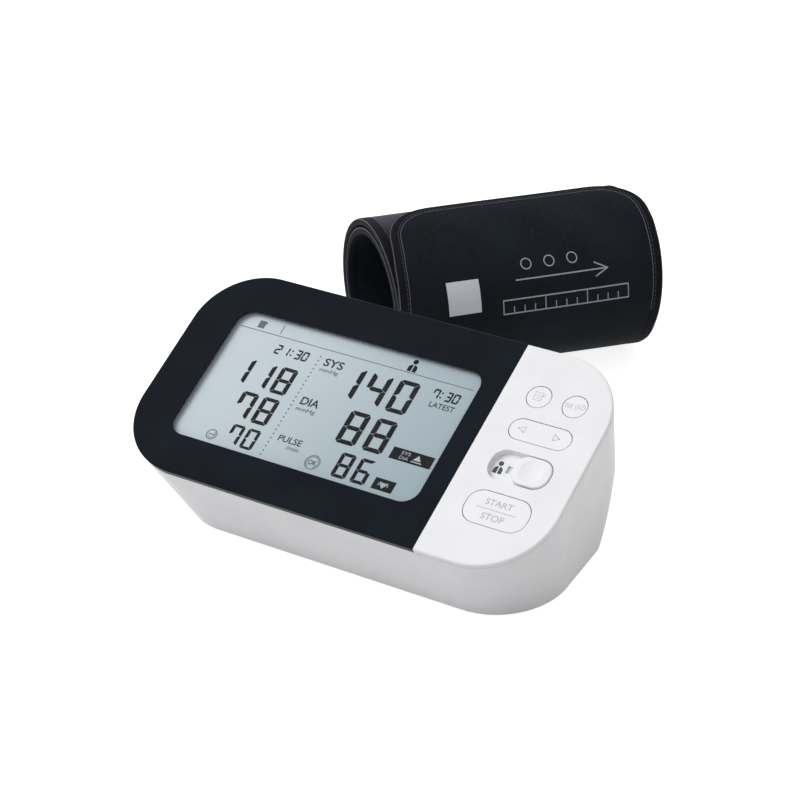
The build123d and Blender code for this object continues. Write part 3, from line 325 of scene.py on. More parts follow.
@dataclass(frozen=True)
class Moulded(Finish):
    """Moulded plastic or rubber with fine grain, faint mottling, dust and rubbed edges."""

    name: str
    colour: Colour
    mottled: Colour
    roughness: float
    grain_scale: float = 1500.0
    grain_depth: float = 0.000006
    specular: float = 0.5
    dust: float = 0.06
    wear: float = 0.15
    dust_tone: Colour = shade(198, 196, 190)
    rough_spread: float = 0.16

    def paint(self, canvas: Canvas) -> None:
        """Joins grain, mottling, dust and wear.

        Args:
            canvas: Nodes of the new material.
        """
        effects = canvas.effects
        tone = canvas.use(effects.mottle, Colour=self.colour, Shade=self.mottled)[0]
        dust = canvas.use(effects.dust, Amount=self.dust)[0]
        rubbed = canvas.use(effects.wear, Amount=self.wear)[0]
        grain = canvas.use(effects.grain, Scale=self.grain_scale, Depth=self.grain_depth)
        polished = tuple(min(1.0, c * 1.25 + 0.01) for c in self.colour)
        tone = canvas.mix(rubbed, canvas.mix(dust, tone, self.dust_tone), polished)
        smoothest = max(0.02, self.roughness - self.rough_spread / 2)
        rough = canvas.math("MULTIPLY_ADD", grain["Mask"], self.rough_spread, smoothest)
        canvas.feed(canvas.shader, Base_Color=tone, Roughness=rough, Normal=grain["Normal"],
                    Specular_IOR_Level=self.specular)


@dataclass(frozen=True)
class Metal(Finish):
    """Bare metal with drawn or rolled marks."""

    name: str
    colour: Colour
    mottled: Colour
    roughness: float
    stretch: Triple = (60.0, 900.0, 900.0)
    mark_depth: float = 0.000008
    dust_tone: Colour = shade(120, 118, 114)

    def paint(self, canvas: Canvas) -> None:
        """Joins drawn marks, mottling and dust.

        Args:
            canvas: Nodes of the new material.
        """
        effects = canvas.effects
        drawn = canvas.add("Mapping", Vector=canvas.place(), Scale=self.stretch).outputs[0]
        marks = canvas.noise(Vector=drawn, Scale=1.0, Detail=5.0)
        tone = canvas.use(effects.mottle, Colour=self.colour, Shade=self.mottled, Scale=150.0)[0]
        dust = canvas.use(effects.dust, Amount=0.08)[0]
        rough = canvas.math("MULTIPLY_ADD", marks, 0.25, self.roughness - 0.1)
        bump = canvas.add("Bump", Height=marks, Distance=self.mark_depth).outputs[0]
        canvas.feed(canvas.shader, Base_Color=canvas.mix(dust, tone, self.dust_tone), Roughness=rough,
                    Normal=bump, Metallic=1.0)


@dataclass(frozen=True)
class CircuitBoard(Finish):
    """Green solder mask over copper tracks, with drilled pads."""

    name: str
    mask: Colour
    track: Colour
    pad_edge: Flat = (0.62, 0.66)
    track_height: float = 0.00003

    def paint(self, canvas: Canvas) -> None:
        """Joins tracks, pads and solder mask.

        Args:
            canvas: Nodes of the new material.
        """
        effects, place = canvas.effects, canvas.place()
        square = {"distance": "CHEBYCHEV", "feature": "F1"}
        cells = canvas.add("TexVoronoi", square, Vector=place, Scale=210.0)
        lanes = canvas.add("TexBrick", Vector=place, Scale=160.0, Mortar_Size=0.03)
        pads = canvas.ramp(cells.outputs[0], *self.pad_edge)
        track = canvas.math("MAXIMUM", pads, lanes.outputs["Fac"], clamp=True)
        grain = canvas.use(effects.grain, Scale=700.0, Depth=0.000006)
        tone = canvas.use(effects.mottle, Colour=self.mask, Shade=self.track, Scale=40.0)[0]
        bump = canvas.add("Bump", Height=track, Distance=self.track_height, Normal=grain["Normal"])
        canvas.feed(canvas.shader, Base_Color=canvas.mix(track, tone, self.track), Normal=bump.outputs[0],
                    Roughness=0.35)


@dataclass(frozen=True)
class Crystal(Finish):
    """Reflective liquid crystal, pale grey, with a painted reflection that fades from lighter at the rear
    left to darker at the front right, and a faint dot screen.
    """

    name: str
    light: Colour
    dark: Colour
    bright_reflection_corner: Triple
    dim_reflection_corner: Triple
    reflection_fade: Flat = (-0.15, 1.1)
    cloud_share: float = 0.25
    dot_scale: float = 2600.0
    dot_share: float = 0.06

    def paint(self, canvas: Canvas) -> None:
        """Joins the painted reflection that fades from corner to corner, clouds and dots.

        Args:
            canvas: Nodes of the new material.
        """
        place = canvas.place()
        run = Vector(self.dim_reflection_corner) - Vector(self.bright_reflection_corner)
        unit = tuple(run / run.length_squared)
        from_corner = canvas.add("VectorMath", {"operation": "SUBTRACT"}, i0=place, i1=self.bright_reflection_corner)
        share = canvas.add("VectorMath", {"operation": "DOT_PRODUCT"}, i0=from_corner.outputs[0], i1=unit)
        cloud = canvas.math("SUBTRACT", canvas.noise(Scale=14.0, Detail=2.0), 0.5)
        soft = canvas.math("ADD", share.outputs["Value"], canvas.math("MULTIPLY", cloud, self.cloud_share))
        # painted reflection: the colour fades from the light tone at the rear left top corner to the dark
        # tone at the front right
        tone = canvas.mix(canvas.ramp(soft, *self.reflection_fade), self.light, self.dark)
        dots = canvas.math("MULTIPLY", canvas.noise(Scale=self.dot_scale), self.dot_share)
        grain = canvas.use(canvas.effects.grain, Scale=self.dot_scale, Depth=0.000002)
        canvas.feed(canvas.shader, Base_Color=canvas.mix(dots, tone, self.dark), Normal=grain["Normal"],
                    Roughness=0.55, Specular_IOR_Level=0.15)


@dataclass(frozen=True)
class Pane(Finish):
    """Clear hard-coated window, thin enough to leave the display's own light alone."""

    name: str
    tint: Colour
    alpha: float
    haze: Colour = shade(150, 160, 172)

    def paint(self, canvas: Canvas) -> None:
        """Joins a little dust and an even tint.

        Args:
            canvas: Nodes of the new material.
        """
        dust = canvas.use(canvas.effects.dust, Amount=0.01)[0]
        tone = canvas.use(canvas.effects.mottle, Colour=self.tint, Shade=self.haze, Scale=18.0)[0]
        canvas.feed(canvas.shader, Base_Color=tone, Alpha=canvas.math("ADD", dust, self.alpha),
                    Roughness=0.06)


@dataclass(frozen=True)
class Ink(Finish):
    """Printed or switched mark, a little uneven in tone."""

    name: str
    colour: Colour
    spread: float = 0.12
    specular: float = 0.2

    def paint(self, canvas: Canvas) -> None:
        """Joins uneven tone and a fine grain.

        Args:
            canvas: Nodes of the new material.
        """
        faded = tuple(min(1.0, c * (1 + self.spread) + 0.002) for c in self.colour)
        tone = canvas.use(canvas.effects.mottle, Colour=self.colour, Shade=faded, Scale=700.0)[0]
        grain = canvas.use(canvas.effects.grain, Scale=2200.0, Depth=0.000003)
        canvas.feed(canvas.shader, Base_Color=tone, Normal=grain["Normal"], Roughness=0.5,
                    Specular_IOR_Level=self.specular)


@dataclass(frozen=True)
class Cloth(Finish):
    """Woven or looped cloth with threads, fading and a soft sheen."""

    name: str
    colour: Colour
    thread: Colour
    pitch: float = 0.0006
    depth: float = 0.00004
    pile: float = 0.25
    sheen: float = 0.25
    roughness: float = 0.8
    thread_share: float = 0.45
    dust_tone: Colour = shade(120, 120, 126)

    def paint(self, canvas: Canvas) -> None:
        """Joins threads, fading and dust.

        Args:
            canvas: Nodes of the new material.
        """
        effects = canvas.effects
        weave = canvas.use(effects.weave, Pitch=self.pitch, Depth=self.depth, Pile=self.pile)
        tone = canvas.use(effects.mottle, Colour=self.colour, Shade=self.thread, Scale=28.0)[0]
        threads = canvas.mix(canvas.math("MULTIPLY", weave["Mask"], self.thread_share), tone, self.thread)
        dust = canvas.use(effects.dust, Amount=0.05)[0]
        canvas.feed(canvas.shader, Base_Color=canvas.mix(dust, threads, self.dust_tone),
                    Normal=weave["Normal"], Roughness=self.roughness, Sheen_Weight=self.sheen,
                    Sheen_Roughness=0.4, Specular_IOR_Level=0.12)


@dataclass(frozen=True)
class CellJacket(Finish):
    """Shrunk sleeve of a battery cell in two tones, with a metal-like sheen."""

    name: str
    sleeve: Colour
    band: Colour
    split: float
    worn: Colour = shade(40, 44, 52)
    blur: float = 0.0001

    def paint(self, canvas: Canvas) -> None:
        """Joins the two tones at the split along the cell.

        Args:
            canvas: Nodes of the new material.
        """
        along = canvas.add("SeparateXYZ", i0=canvas.place()).outputs[1]
        side = canvas.ramp(along, self.split - self.blur, self.split + self.blur)
        tone = canvas.use(canvas.effects.mottle, Colour=self.sleeve, Shade=self.worn, Scale=90.0)[0]
        grain = canvas.use(canvas.effects.grain, Scale=900.0, Depth=0.000004)
        canvas.feed(canvas.shader, Base_Color=canvas.mix(side, tone, self.band), Normal=grain["Normal"],
                    Roughness=0.28, Metallic=0.4)


@dataclass
class FaceFrame:
    """The unit's sloping face: u from its left side, v up the slope, w down into it, in millimetres."""

    tilt: float = math.radians(30.2)
    front_height: float = 35.5
    display_left: float = 15.5
    display_front: float = 12.716
    clear_above: float = 20.0
    origin: Vector = field(init=False)

    def __post_init__(self) -> None:
        """Finds the unit's left front corner on the table from the display's place."""
        low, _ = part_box("lcd_panel")
        self.origin = Vector((low.x / MM - self.display_left, low.y / MM - self.display_front, 0.0))

    def point(self, u: float, v: float, w: float = 0.0) -> Vector:
        """Gives a point of the face in metres.

        Args:
            u: Distance from the unit's left side.
            v: Distance up the slope from its front edge.
            w: Depth below the face.

        Returns:
            The point in the row frame.
        """
        sine, cosine = math.sin(self.tilt), math.cos(self.tilt)
        rise = Vector((u, v * cosine + w * sine, self.front_height + v * sine - w * cosine))
        return (self.origin + rise) * MM

    def normal(self) -> Vector:
        """Gives the face's outward direction."""
        return Vector((0.0, -math.sin(self.tilt), math.cos(self.tilt)))

    def at_depth(self, w: float) -> Place:
        """Gives a placing function for flat shapes at one depth."""
        return lambda u, v: self.point(u, v, w)

    def onto(self, node: str, gap: float = 0.02) -> Place:
        """Gives a placing function that lays shapes on a CAD node seen from above the face.

        Args:
            node: Name of the CAD node.
            gap: Height of the shape above it.

        Returns:
            The placing function.
        """
        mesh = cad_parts[node].data
        tree = BVHTree.FromPolygons([v.co for v in mesh.vertices], [p.vertices for p in mesh.polygons])

        def place(u: float, v: float) -> Vector:
            """Drops a point onto the node."""
            hit = tree.ray_cast(self.point(u, v, -self.clear_above), -self.normal())[0]
            return self.point(u, v) if hit is None else hit + self.normal() * gap * MM

        return place


SEGMENTS = {"0": "abcdef", "1": "bc", "2": "abged", "3": "abgcd", "4": "fgbc", "6": "afgecd", "7": "fabc",
            "8": "abcdefg"}


@dataclass
class Artwork:
    """Flat shapes in millimetres, gathered and then laid on a surface as one thin piece."""

    step: float = 1.5
    line_end: float = 0.6
    facet: float = 12.0
    segment_gap: float = 0.03
    segment_cut: float = 0.45
    shapes: list[list[Flat]] = field(default_factory=list)

    def polygon(self, points: Sequence[Flat]) -> None:
        """Adds one polygon."""
        self.shapes.append(list(points))

    def box(self, sides: Box) -> None:
        """Adds an upright rectangle as a grid of small faces.

        Args:
            sides: Left, right, lower and upper side.
        """
        u0, u1, v0, v1 = sides
        columns = max(1, math.ceil((u1 - u0) / self.step))
        rows = max(1, math.ceil((v1 - v0) / self.step))
        us = [u0 + (u1 - u0) * k / columns for k in range(columns + 1)]
        vs = [v0 + (v1 - v0) * k / rows for k in range(rows + 1)]
        for left, right in zip(us, us[1:]):
            for low, high in zip(vs, vs[1:]):
                self.polygon([(left, low), (right, low), (right, high), (left, high)])

    def line(self, points: Sequence[Flat], width: float) -> None:
        """Adds a line of even width.

        Args:
            points: Corners of the line.
            width: Width of the line.
        """
        reach = width / 2
        for (u0, v0), (u1, v1) in zip(points, points[1:]):
            length = math.hypot(u1 - u0, v1 - v0)
            du, dv = (u1 - u0) / length, (v1 - v0) / length
            count = max(1, math.ceil(length / self.step))
            for k in range(count):
                a = -reach * self.line_end if k == 0 else length * k / count
                b = length + reach * self.line_end if k == count - 1 else length * (k + 1) / count
                corners = [(a, -reach), (b, -reach), (b, reach), (a, reach)]
                self.polygon([(u0 + x * du - y * dv, v0 + x * dv + y * du) for x, y in corners])

    def loop(self, points: Sequence[Flat], width: float) -> None:
        """Adds a line that closes on itself."""
        self.line([*points, points[0]], width)

    def ring(self, centre: Flat, radius: float, width: float, start: float = 0.0,
             end: float = 360.0) -> None:
        """Adds a ring or an arc of one.

        Args:
            centre: Centre of the ring.
            radius: Outer radius.
            width: Width of the line, or the radius for a disc.
            start: First angle in degrees.
            end: Last angle in degrees.
        """
        count = max(6, math.ceil((end - start) / self.facet))
        turns = [math.radians(start + (end - start) * k / count) for k in range(count + 1)]
        inner = max(radius - width, 0.0)
        for a, b in zip(turns, turns[1:]):
            pairs = [(radius, a), (radius, b), (inner, b), (inner, a)]
            spots = [(centre[0] + r * math.cos(t), centre[1] + r * math.sin(t)) for r, t in pairs]
            self.polygon(spots[:3] if inner == 0 else spots)

    def dot(self, centre: Flat, radius: float) -> None:
        """Adds a disc."""
        self.ring(centre, radius, radius)

    def digit(self, figure: str, left: float, foot: float, size: Flat, stroke: Flat,
              lean: float = 0.0) -> None:
        """Adds one seven-segment digit.

        Args:
            figure: The digit shown.
            left: Left side of its box.
            foot: Lower side of its box.
            size: Width and height of the box.
            stroke: Width of the upright and of the level segments.
            lean: Lean of the digit to the right, as a share of its height.
        """
        wide, high = size
        up, level = stroke
        gap, cut = self.segment_gap * (up + 1.0), self.segment_cut * up
        middle = high / 2
        top = [(cut + gap, high), (wide - cut - gap, high), (wide - cut / 2 - gap, high - cut / 2),
               (wide - up - gap, high - level), (up + gap, high - level), (cut / 2 + gap, high - cut / 2)]
        upper, lower = middle + level / 2, middle - level / 2
        bar = [(up / 2 + gap, middle), (up + gap, upper), (wide - up - gap, upper),
               (wide - up / 2 - gap, middle), (wide - up - gap, lower), (up + gap, lower)]
        side = [(0.0, high - cut - gap), (cut / 2, high - cut / 2 - gap), (up, high - level - gap),
                (up, upper + gap), (up / 2, middle + gap), (0.0, middle + gap)]
        parts = {
            "a": top, "g": bar, "f": side, "d": [(x, high - y) for x, y in top],
            "e": [(x, high - y) for x, y in side], "b": [(wide - x, y) for x, y in side],
            "c": [(wide - x, high - y) for x, y in side]}
        for letter in SEGMENTS[figure]:
            self.polygon([(left + x + lean * y, foot + y) for x, y in parts[letter]])

    def word(self, text: str, sides: Box, weight: float = 0.0) -> None:
        """Adds a word set in the plain built-in type, stretched to a box.

        Args:
            text: The word.
            sides: Left, right, lower and upper side of the box.
            weight: How much bolder than the plain type it is.
        """
        curve = bpy.data.curves.new("type", "FONT")
        curve.body, curve.offset, curve.resolution_u = text, weight, 4
        holder = bpy.data.objects.new("type", curve)
        bpy.context.scene.collection.objects.link(holder)
        mesh = bpy.data.meshes.new_from_object(holder.evaluated_get(bpy.context.evaluated_depsgraph_get()))
        spots = np.array([v.co[:2] for v in mesh.vertices])
        corner, far = np.array(sides[::2]), np.array(sides[1::2])
        spots = (spots - spots.min(0)) / np.ptp(spots, axis=0) * (far - corner) + corner
        for face in mesh.polygons:
            self.polygon([tuple(spots[k]) for k in face.vertices])
        bpy.data.objects.remove(holder)
        bpy.data.meshes.remove(mesh)
        bpy.data.curves.remove(curve)

    def person(self, centre: float, foot: float, height: float) -> None:
        """Adds a plain pictogram of head and shoulders.

        Args:
            centre: Middle of the figure.
            foot: Lower side.
            height: Height of the figure.
        """
        head, half = 0.19 * height, 0.34 * height
        shoulder, crown, slit = 0.3 * height, 0.26 * height, 0.12 * half
        self.dot((centre, foot + height - head), head)
        arch = [(half - (half - slit) * (1 - math.cos(bend)), shoulder + crown * math.sin(bend))
                for bend in quarter_turn(6)]
        for side in (-1, 1):
            outline = [(slit, 0.0), (half, 0.0), *arch]
            self.polygon([(centre + side * x, foot + y) for x, y in outline])

    def lay(self, name: str, place: Place, thickness: float = 0.015) -> bpy.types.Object:
        """Lays the gathered shapes on a surface.

        Args:
            name: Name of the piece.
            place: Gives the point in space of each flat point.
            thickness: Thickness of the layer in millimetres.

        Returns:
            The piece.
        """
        corners: list[Vector] = []
        faces: list[list[int]] = []
        for outline in self.shapes:
            faces.append(list(range(len(corners), len(corners) + len(outline))))
            corners.extend(place(u, v) for u, v in outline)
        piece = new_piece(name, corners, faces)
        layer = piece.modifiers.new("ink", "SOLIDIFY")
        layer.thickness, layer.offset = thickness * MM, -1.0
        return piece


def new_piece(name: str, corners: Sequence[Vector], faces: Sequence[Sequence[int]]) -> bpy.types.Object:
    """Makes a mesh object in the scene.

    Args:
        name: Name of the piece.
        corners: Its points in metres.
        faces: Its faces as numbers of points.

    Returns:
        The object.
    """
    mesh = bpy.data.meshes.new(name)
    mesh.from_pydata([tuple(c) for c in corners], [], [tuple(f) for f in faces])
    mesh.update()
    piece = bpy.data.objects.new(name, mesh)
    bpy.context.scene.collection.objects.link(piece)
    return piece


def settle(piece: bpy.types.Object, body: Body, slot: Slot,
           *materials: bpy.types.Material) -> bpy.types.Object:
    """Gives a piece its finish and the body that it rides on.

    Args:
        piece: The piece.
        body: Body that carries it.
        slot: Slot of the record that names its finish; not used.
        materials: Its materials in order.

    Returns:
        The piece.
    """
    for material in materials:
        piece.data.materials.append(material)
    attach(piece, body.value)
    LOG.info("piece %s rides on %s", piece.name, body.value)
    return piece


@dataclass
class Studio:
    """Pale floor, plain soft light and the camera at the photograph's angle."""

    camera_place: Triple = (0.45344, -0.79196, 0.47548)
    camera_right: Triple = (0.84644, 0.53248, 0.0)
    camera_down: Triple = (0.24063, -0.38251, -0.89207)
    camera_forward: Triple = (-0.47501, 0.75508, -0.45191)
    focal_length: float = 105.58
    sensor_width: float = 36.0
    near: float = 0.05
    far: float = 20.0
    sky: float = 0.5
    sun: float = 1.8
    sun_from: Triple = (-0.307, -0.215, 0.51)
    sun_width: float = 42.0
    floor_shade: float = 0.62
    floor_glow: float = 0.85
    floor_half: float = 4.0
    floor_drop: float = 0.0001

    def build(self) -> None:
        """Builds floor, light and camera."""
        self.build_floor()
        self.build_sky()
        self.build_sun()
        self.build_camera()
        bpy.context.scene.view_settings.view_transform = "Standard"
        LOG.info("studio ready")

    def seen(self, graph: Graph) -> bpy.types.NodeSocket:
        """Gives one for rays that show the background itself: camera, glossy and transmission rays."""
        rays = graph.add("LightPath").outputs
        through = graph.math("MAXIMUM", rays["Is Glossy Ray"], rays["Is Transmission Ray"])
        return graph.math("MAXIMUM", rays["Is Camera Ray"], through)

    def build_floor(self) -> None:
        """Builds the floor, which shows white and keeps the object's shadow."""
        half = self.floor_half
        around = ((-half, -half), (half, -half), (half, half), (-half, half))
        corners = [Vector((x, y, -self.floor_drop)) for x, y in around]
        floor = new_piece("studio_floor", corners, [(0, 1, 2, 3)])
        material = bpy.data.materials.new("studio_floor")
        material.use_nodes = True
        graph = Graph(material.node_tree)
        graph.tree.nodes.remove(graph.tree.nodes["Principled BSDF"])
        matt = graph.add("BsdfDiffuse", Color=(self.floor_shade,) * 3 + (1.0,))
        glow = graph.add("Emission", Strength=graph.math("MULTIPLY", self.seen(graph), self.floor_glow))
        both = graph.add("AddShader", i0=matt.outputs[0], i1=glow.outputs[0])
        graph.feed(graph.tree.nodes["Material Output"], Surface=both.outputs[0])
        floor.data.materials.append(material)

    def build_sky(self) -> None:
        """Builds the even light from all round, seen as white."""
        world = bpy.data.worlds.new("studio_sky")
        world.use_nodes = True
        bpy.context.scene.world = world
        graph = Graph(world.node_tree)
        level = graph.math("MULTIPLY_ADD", self.seen(graph), 1.0 - self.sky, self.sky)
        graph.feed(graph.tree.nodes["Background"], Color=(1.0, 1.0, 1.0, 1.0), Strength=level)

    def build_sun(self) -> None:
        """Builds the wide soft lamp."""
        light = bpy.data.lights.new("soft_sun", "SUN")
        light.energy, light.angle = self.sun, math.radians(self.sun_width)
        lamp = bpy.data.objects.new("soft_sun", light)
        lamp.visible_glossy = False
        lamp.rotation_euler = Vector(self.sun_from).to_track_quat("Z", "Y").to_euler()
        bpy.context.scene.collection.objects.link(lamp)

    def build_camera(self) -> None:
        """Builds the camera."""
        data = bpy.data.cameras.new("camera")
        data.lens, data.sensor_width = self.focal_length, self.sensor_width
        data.clip_start, data.clip_end = self.near, self.far
        camera = bpy.data.objects.new("camera", data)
        axes = (Vector(self.camera_right), -Vector(self.camera_down), -Vector(self.camera_forward))
        turn = Matrix([[axis[row] for axis in axes] for row in range(3)]).to_4x4()
        camera.matrix_world = Matrix.Translation(self.camera_place) @ turn
        bpy.context.scene.collection.objects.link(camera)
        bpy.context.scene.camera = camera


@dataclass
class TableUnit:
    """The unit's own CAD pieces and the finish of each."""

    effects: Effects

    def finishes(self) -> dict[Finish, tuple[str, ...]]:
        """Lists each finish with the CAD nodes that wear it.

        Returns:
            The nodes of each finish.
        """
        low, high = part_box("lcd_panel")
        cells_low, cells_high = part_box("batteries")
        return {
            Moulded("white_plastic", shade(238, 238, 240), shade(233, 233, 236), 0.42, dust=0.02, wear=0.1): (
                "lower_case", "upper_case", "battery_cover"),
            Moulded("key_plastic", shade(240, 240, 243), shade(236, 236, 240), 0.36, dust=0.02): (
                "start_stop_button", "memory_button", "connect_button", "scroll_button", "user_slide_knob"),
            Moulded("dark_panel", shade(15, 20, 29), shade(19, 25, 34), 0.14, grain_depth=0.0000008,
                    specular=0.07, dust=0.0, wear=0.05): ("display_bezel",),
            Pane("clear_window", shade(196, 206, 214), 0.02): ("display_window",),
            # liquid crystal: the fade from pale at the rear left top corner to darker at the front right is a
            # painted reflection
            Crystal("liquid_crystal", shade(212, 221, 227), shade(158, 176, 183), (low.x, high.y, high.z),
                    (high.x, low.y, low.z)): ("lcd_panel",),
            Moulded("inner_plastic", shade(196, 197, 192), shade(182, 184, 180), 0.5): (
                "lcd_holder", "pump_head", "air_manifold"),
            Moulded("black_plastic", shade(28, 28, 30), shade(36, 36, 39), 0.4): (
                "slide_switch", "board_chips"),
            Moulded("sensor_plastic", shade(214, 208, 188), shade(198, 190, 168), 0.45): ("pressure_sensor",),
            Moulded("jack_plastic", shade(46, 48, 54), shade(58, 60, 66), 0.38): (
                "air_jack", "power_jack", "cuff_hose_gland"),
            Moulded("grey_rubber", shade(150, 152, 156), shade(132, 134, 140), 0.75, grain_depth=0.00002): (
                "key_mat", "pump_cushions", "lcd_connector"),
            Moulded("dark_rubber", shade(52, 53, 57), shade(66, 66, 70), 0.8, grain_depth=0.00003): ("feet",),
            Moulded("tube_rubber", shade(208, 204, 192), shade(190, 186, 174), 0.5): ("air_tubes",),
            CircuitBoard("circuit_board", shade(20, 84, 52), shade(62, 128, 78)): ("main_board",),
            Metal("shield_steel", shade(196, 198, 200), shade(170, 172, 176), 0.35): ("wireless_module",),
            Metal("screw_steel", shade(186, 188, 194), shade(140, 144, 152), 0.3): (
                "case_screws", "board_screws"),
            Metal("contact_steel", shade(206, 208, 210), shade(168, 166, 160), 0.28): ("battery_contacts",),
            Metal("motor_steel", shade(176, 178, 180), shade(146, 148, 152), 0.4): (
                "pump_motor", "exhaust_valve"),
            CellJacket("battery_jacket", shade(34, 38, 48), shade(196, 150, 70),
                       (cells_low.y + 2 * cells_high.y) / 3): ("batteries",),
        }

    def dress(self) -> None:
        """Gives every CAD node of the unit its finish."""
        for finish, nodes in self.finishes().items():
            material = finish.material(self.effects)
            for node in nodes:
                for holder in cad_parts[node].material_slots:
                    holder.material = material
            LOG.info("finish %s on %s", finish.name, ", ".join(nodes))


@dataclass
class Display:
    """What the liquid crystal shows: two readings side by side with their units and marks."""

    face: FaceFrame
    effects: Effects
    depth: float = 2.6
    lift: float = 0.03
    small: Flat = (2.8, 4.6)
    left_figures: Flat = (7.7, 12.8)
    left_pulse: Flat = (5.8, 9.5)
    right_figures: Flat = (9.2, 15.5)
    right_pulse: Flat = (6.6, 11.4)
    upright_share: float = 0.255
    level_share: float = 0.125
    small_level_share: float = 0.17
    small_lean: float = 0.05
    dot: float = 0.42
    level_flag: Box = (113.2, 131.6, 35.0, 40.4)
    pulse_flag: Box = (113.1, 122.3, 20.4, 25.6)
    heart: Flat = (117.5, 22.7)
    specular: float = 0.04

    def build(self) -> None:
        """Builds every mark of the display."""
        near_black, dark_grey, mid_grey = (
            Ink(name, tone, specular=self.specular).material(self.effects) for name, tone in (
                ("segment_black", shade(15, 11, 12)), ("word_grey", shade(48, 53, 60)),
                ("icon_grey", shade(104, 111, 118))))
        pale = Ink("cleared_segment", shade(172, 186, 192)).material(self.effects)
        for name, art, material, lift in (
                ("lcd_digits", self.digits(), near_black, self.lift),
                ("lcd_flags", self.flags(), near_black, self.lift),
                ("lcd_words", self.words(), dark_grey, self.lift),
                ("lcd_icons", self.icons(), mid_grey, self.lift),
                ("lcd_flag_marks", self.flag_marks(), pale, 2 * self.lift)):
            settle(art.lay(name, self.face.at_depth(self.depth - lift)), Body.BASE, Slot.CRYSTAL, material)

    def digits(self) -> Artwork:
        """Draws the times and the two readings.

        Returns:
            The drawing.
        """
        art = Artwork()
        for figures, lefts, foot, size in (
                ("2130", (41.7, 45.4, 51.3, 54.6), 65.3, self.small),
                ("118", (29.6, 39.7, 49.7), 47.8, self.left_figures),
                ("78", (39.7, 49.7), 32.5, self.left_figures),
                ("70", (44.2, 51.6), 20.4, self.left_pulse),
                ("140", (76.0, 88.3, 100.6), 54.2, self.right_figures),
                ("88", (88.3, 100.6), 35.0, self.right_figures),
                ("86", (94.6, 103.4), 20.3, self.right_pulse),
                ("730", (116.0, 121.7, 125.0), 65.2, self.small)):
            level, lean = self.level_share, 0.0
            if size == self.small:
                level, lean = self.small_level_share, self.small_lean
            for figure, left in zip(figures, lefts):
                art.digit(figure, left, foot, size, (self.upright_share * size[0], level * size[1]), lean)
        for colon_dot in ((49.6, 66.5), (49.7, 68.6), (119.9, 66.3), (120.0, 68.5)):
            art.dot(colon_dot, self.dot)
        return art

    def flags(self) -> Artwork:
        """Draws the two dark boxes and the figure of the chosen user.

        Returns:
            The drawing.
        """
        art = Artwork()
        art.box(self.level_flag)
        art.box(self.pulse_flag)
        art.person(centre=102.3, foot=74.0, height=5.9)
        return art

    def flag_marks(self) -> Artwork:
        """Draws what shows clear inside the dark boxes.

        Returns:
            The drawing.
        """
        art = Artwork()
        art.word("SYS", (117.4, 121.4, 38.0, 39.5))
        art.word("DIA", (117.4, 121.4, 35.8, 37.3))
        art.polygon([(123.3, 36.9), (126.7, 36.9), (125.0, 39.4)])
        art.box((122.7, 127.4, 35.9, 36.35))
        u, v = self.heart
        for side in (-1, 1):
            art.dot((u + 0.62 * side, v + 0.5), 0.8)
            middle = 90 - 70 * side
            art.ring(self.heart, 2.2, 0.3, middle - 30, middle + 30)
        art.polygon([(u - 1.3, v + 0.15), (u, v - 1.35), (u + 1.3, v + 0.15)])
        return art

    def words(self) -> Artwork:
        """Draws the plain words beside the readings.

        Returns:
            The drawing.
        """
        art = Artwork()
        for text, sides, weight in (
                ("SYS", (65.3, 74.3, 66.0, 69.8), 0.02), ("DIA", (65.4, 73.9, 46.5, 50.2), 0.02),
                ("PULSE", (65.5, 76.3, 28.3, 31.2), 0.012), ("LATEST", (117.0, 128.2, 61.3, 63.8), 0.01),
                ("mmHg", (65.2, 73.8, 62.7, 65.0), 0.0), ("mmHg", (65.2, 74.0, 43.0, 45.3), 0.0),
                ("/min", (70.8, 76.5, 25.5, 27.6), 0.0), ("OK", (83.0, 86.8, 22.3, 24.5), 0.01)):
            art.word(text, sides, weight)
        return art

    def icons(self) -> Artwork:
        """Draws the lines, the dotted divider and the small icons.

        Returns:
            The drawing.
        """
        art = Artwork(step=30.0)
        art.line([(21.0, 73.7), (131.2, 73.3)], 0.34)
        art.line([(39.8, 75.0), (39.8, 79.0)], 0.4)
        divider, low, high, count = 62.4, 20.4, 69.6, 25
        for k in range(count):
            art.dot((divider, low + (high - low) * k / (count - 1)), 0.38)
        art.polygon([(28.2, 75.0), (31.4, 75.0), (31.4, 77.2), (32.1, 77.7), (31.2, 78.6), (28.2, 78.6)])
        small_sign, large_sign = (37.5, 22.4), (84.9, 23.5)
        art.ring(small_sign, 2.45, 0.42)
        art.ring(small_sign, 1.7, 0.3, 200, 420)
        art.line([(36.2, 22.5), (38.6, 22.5)], 0.45)
        art.ring(large_sign, 3.35, 0.4)
        art.ring(large_sign, 2.7, 0.3, -60, 240)
        return art


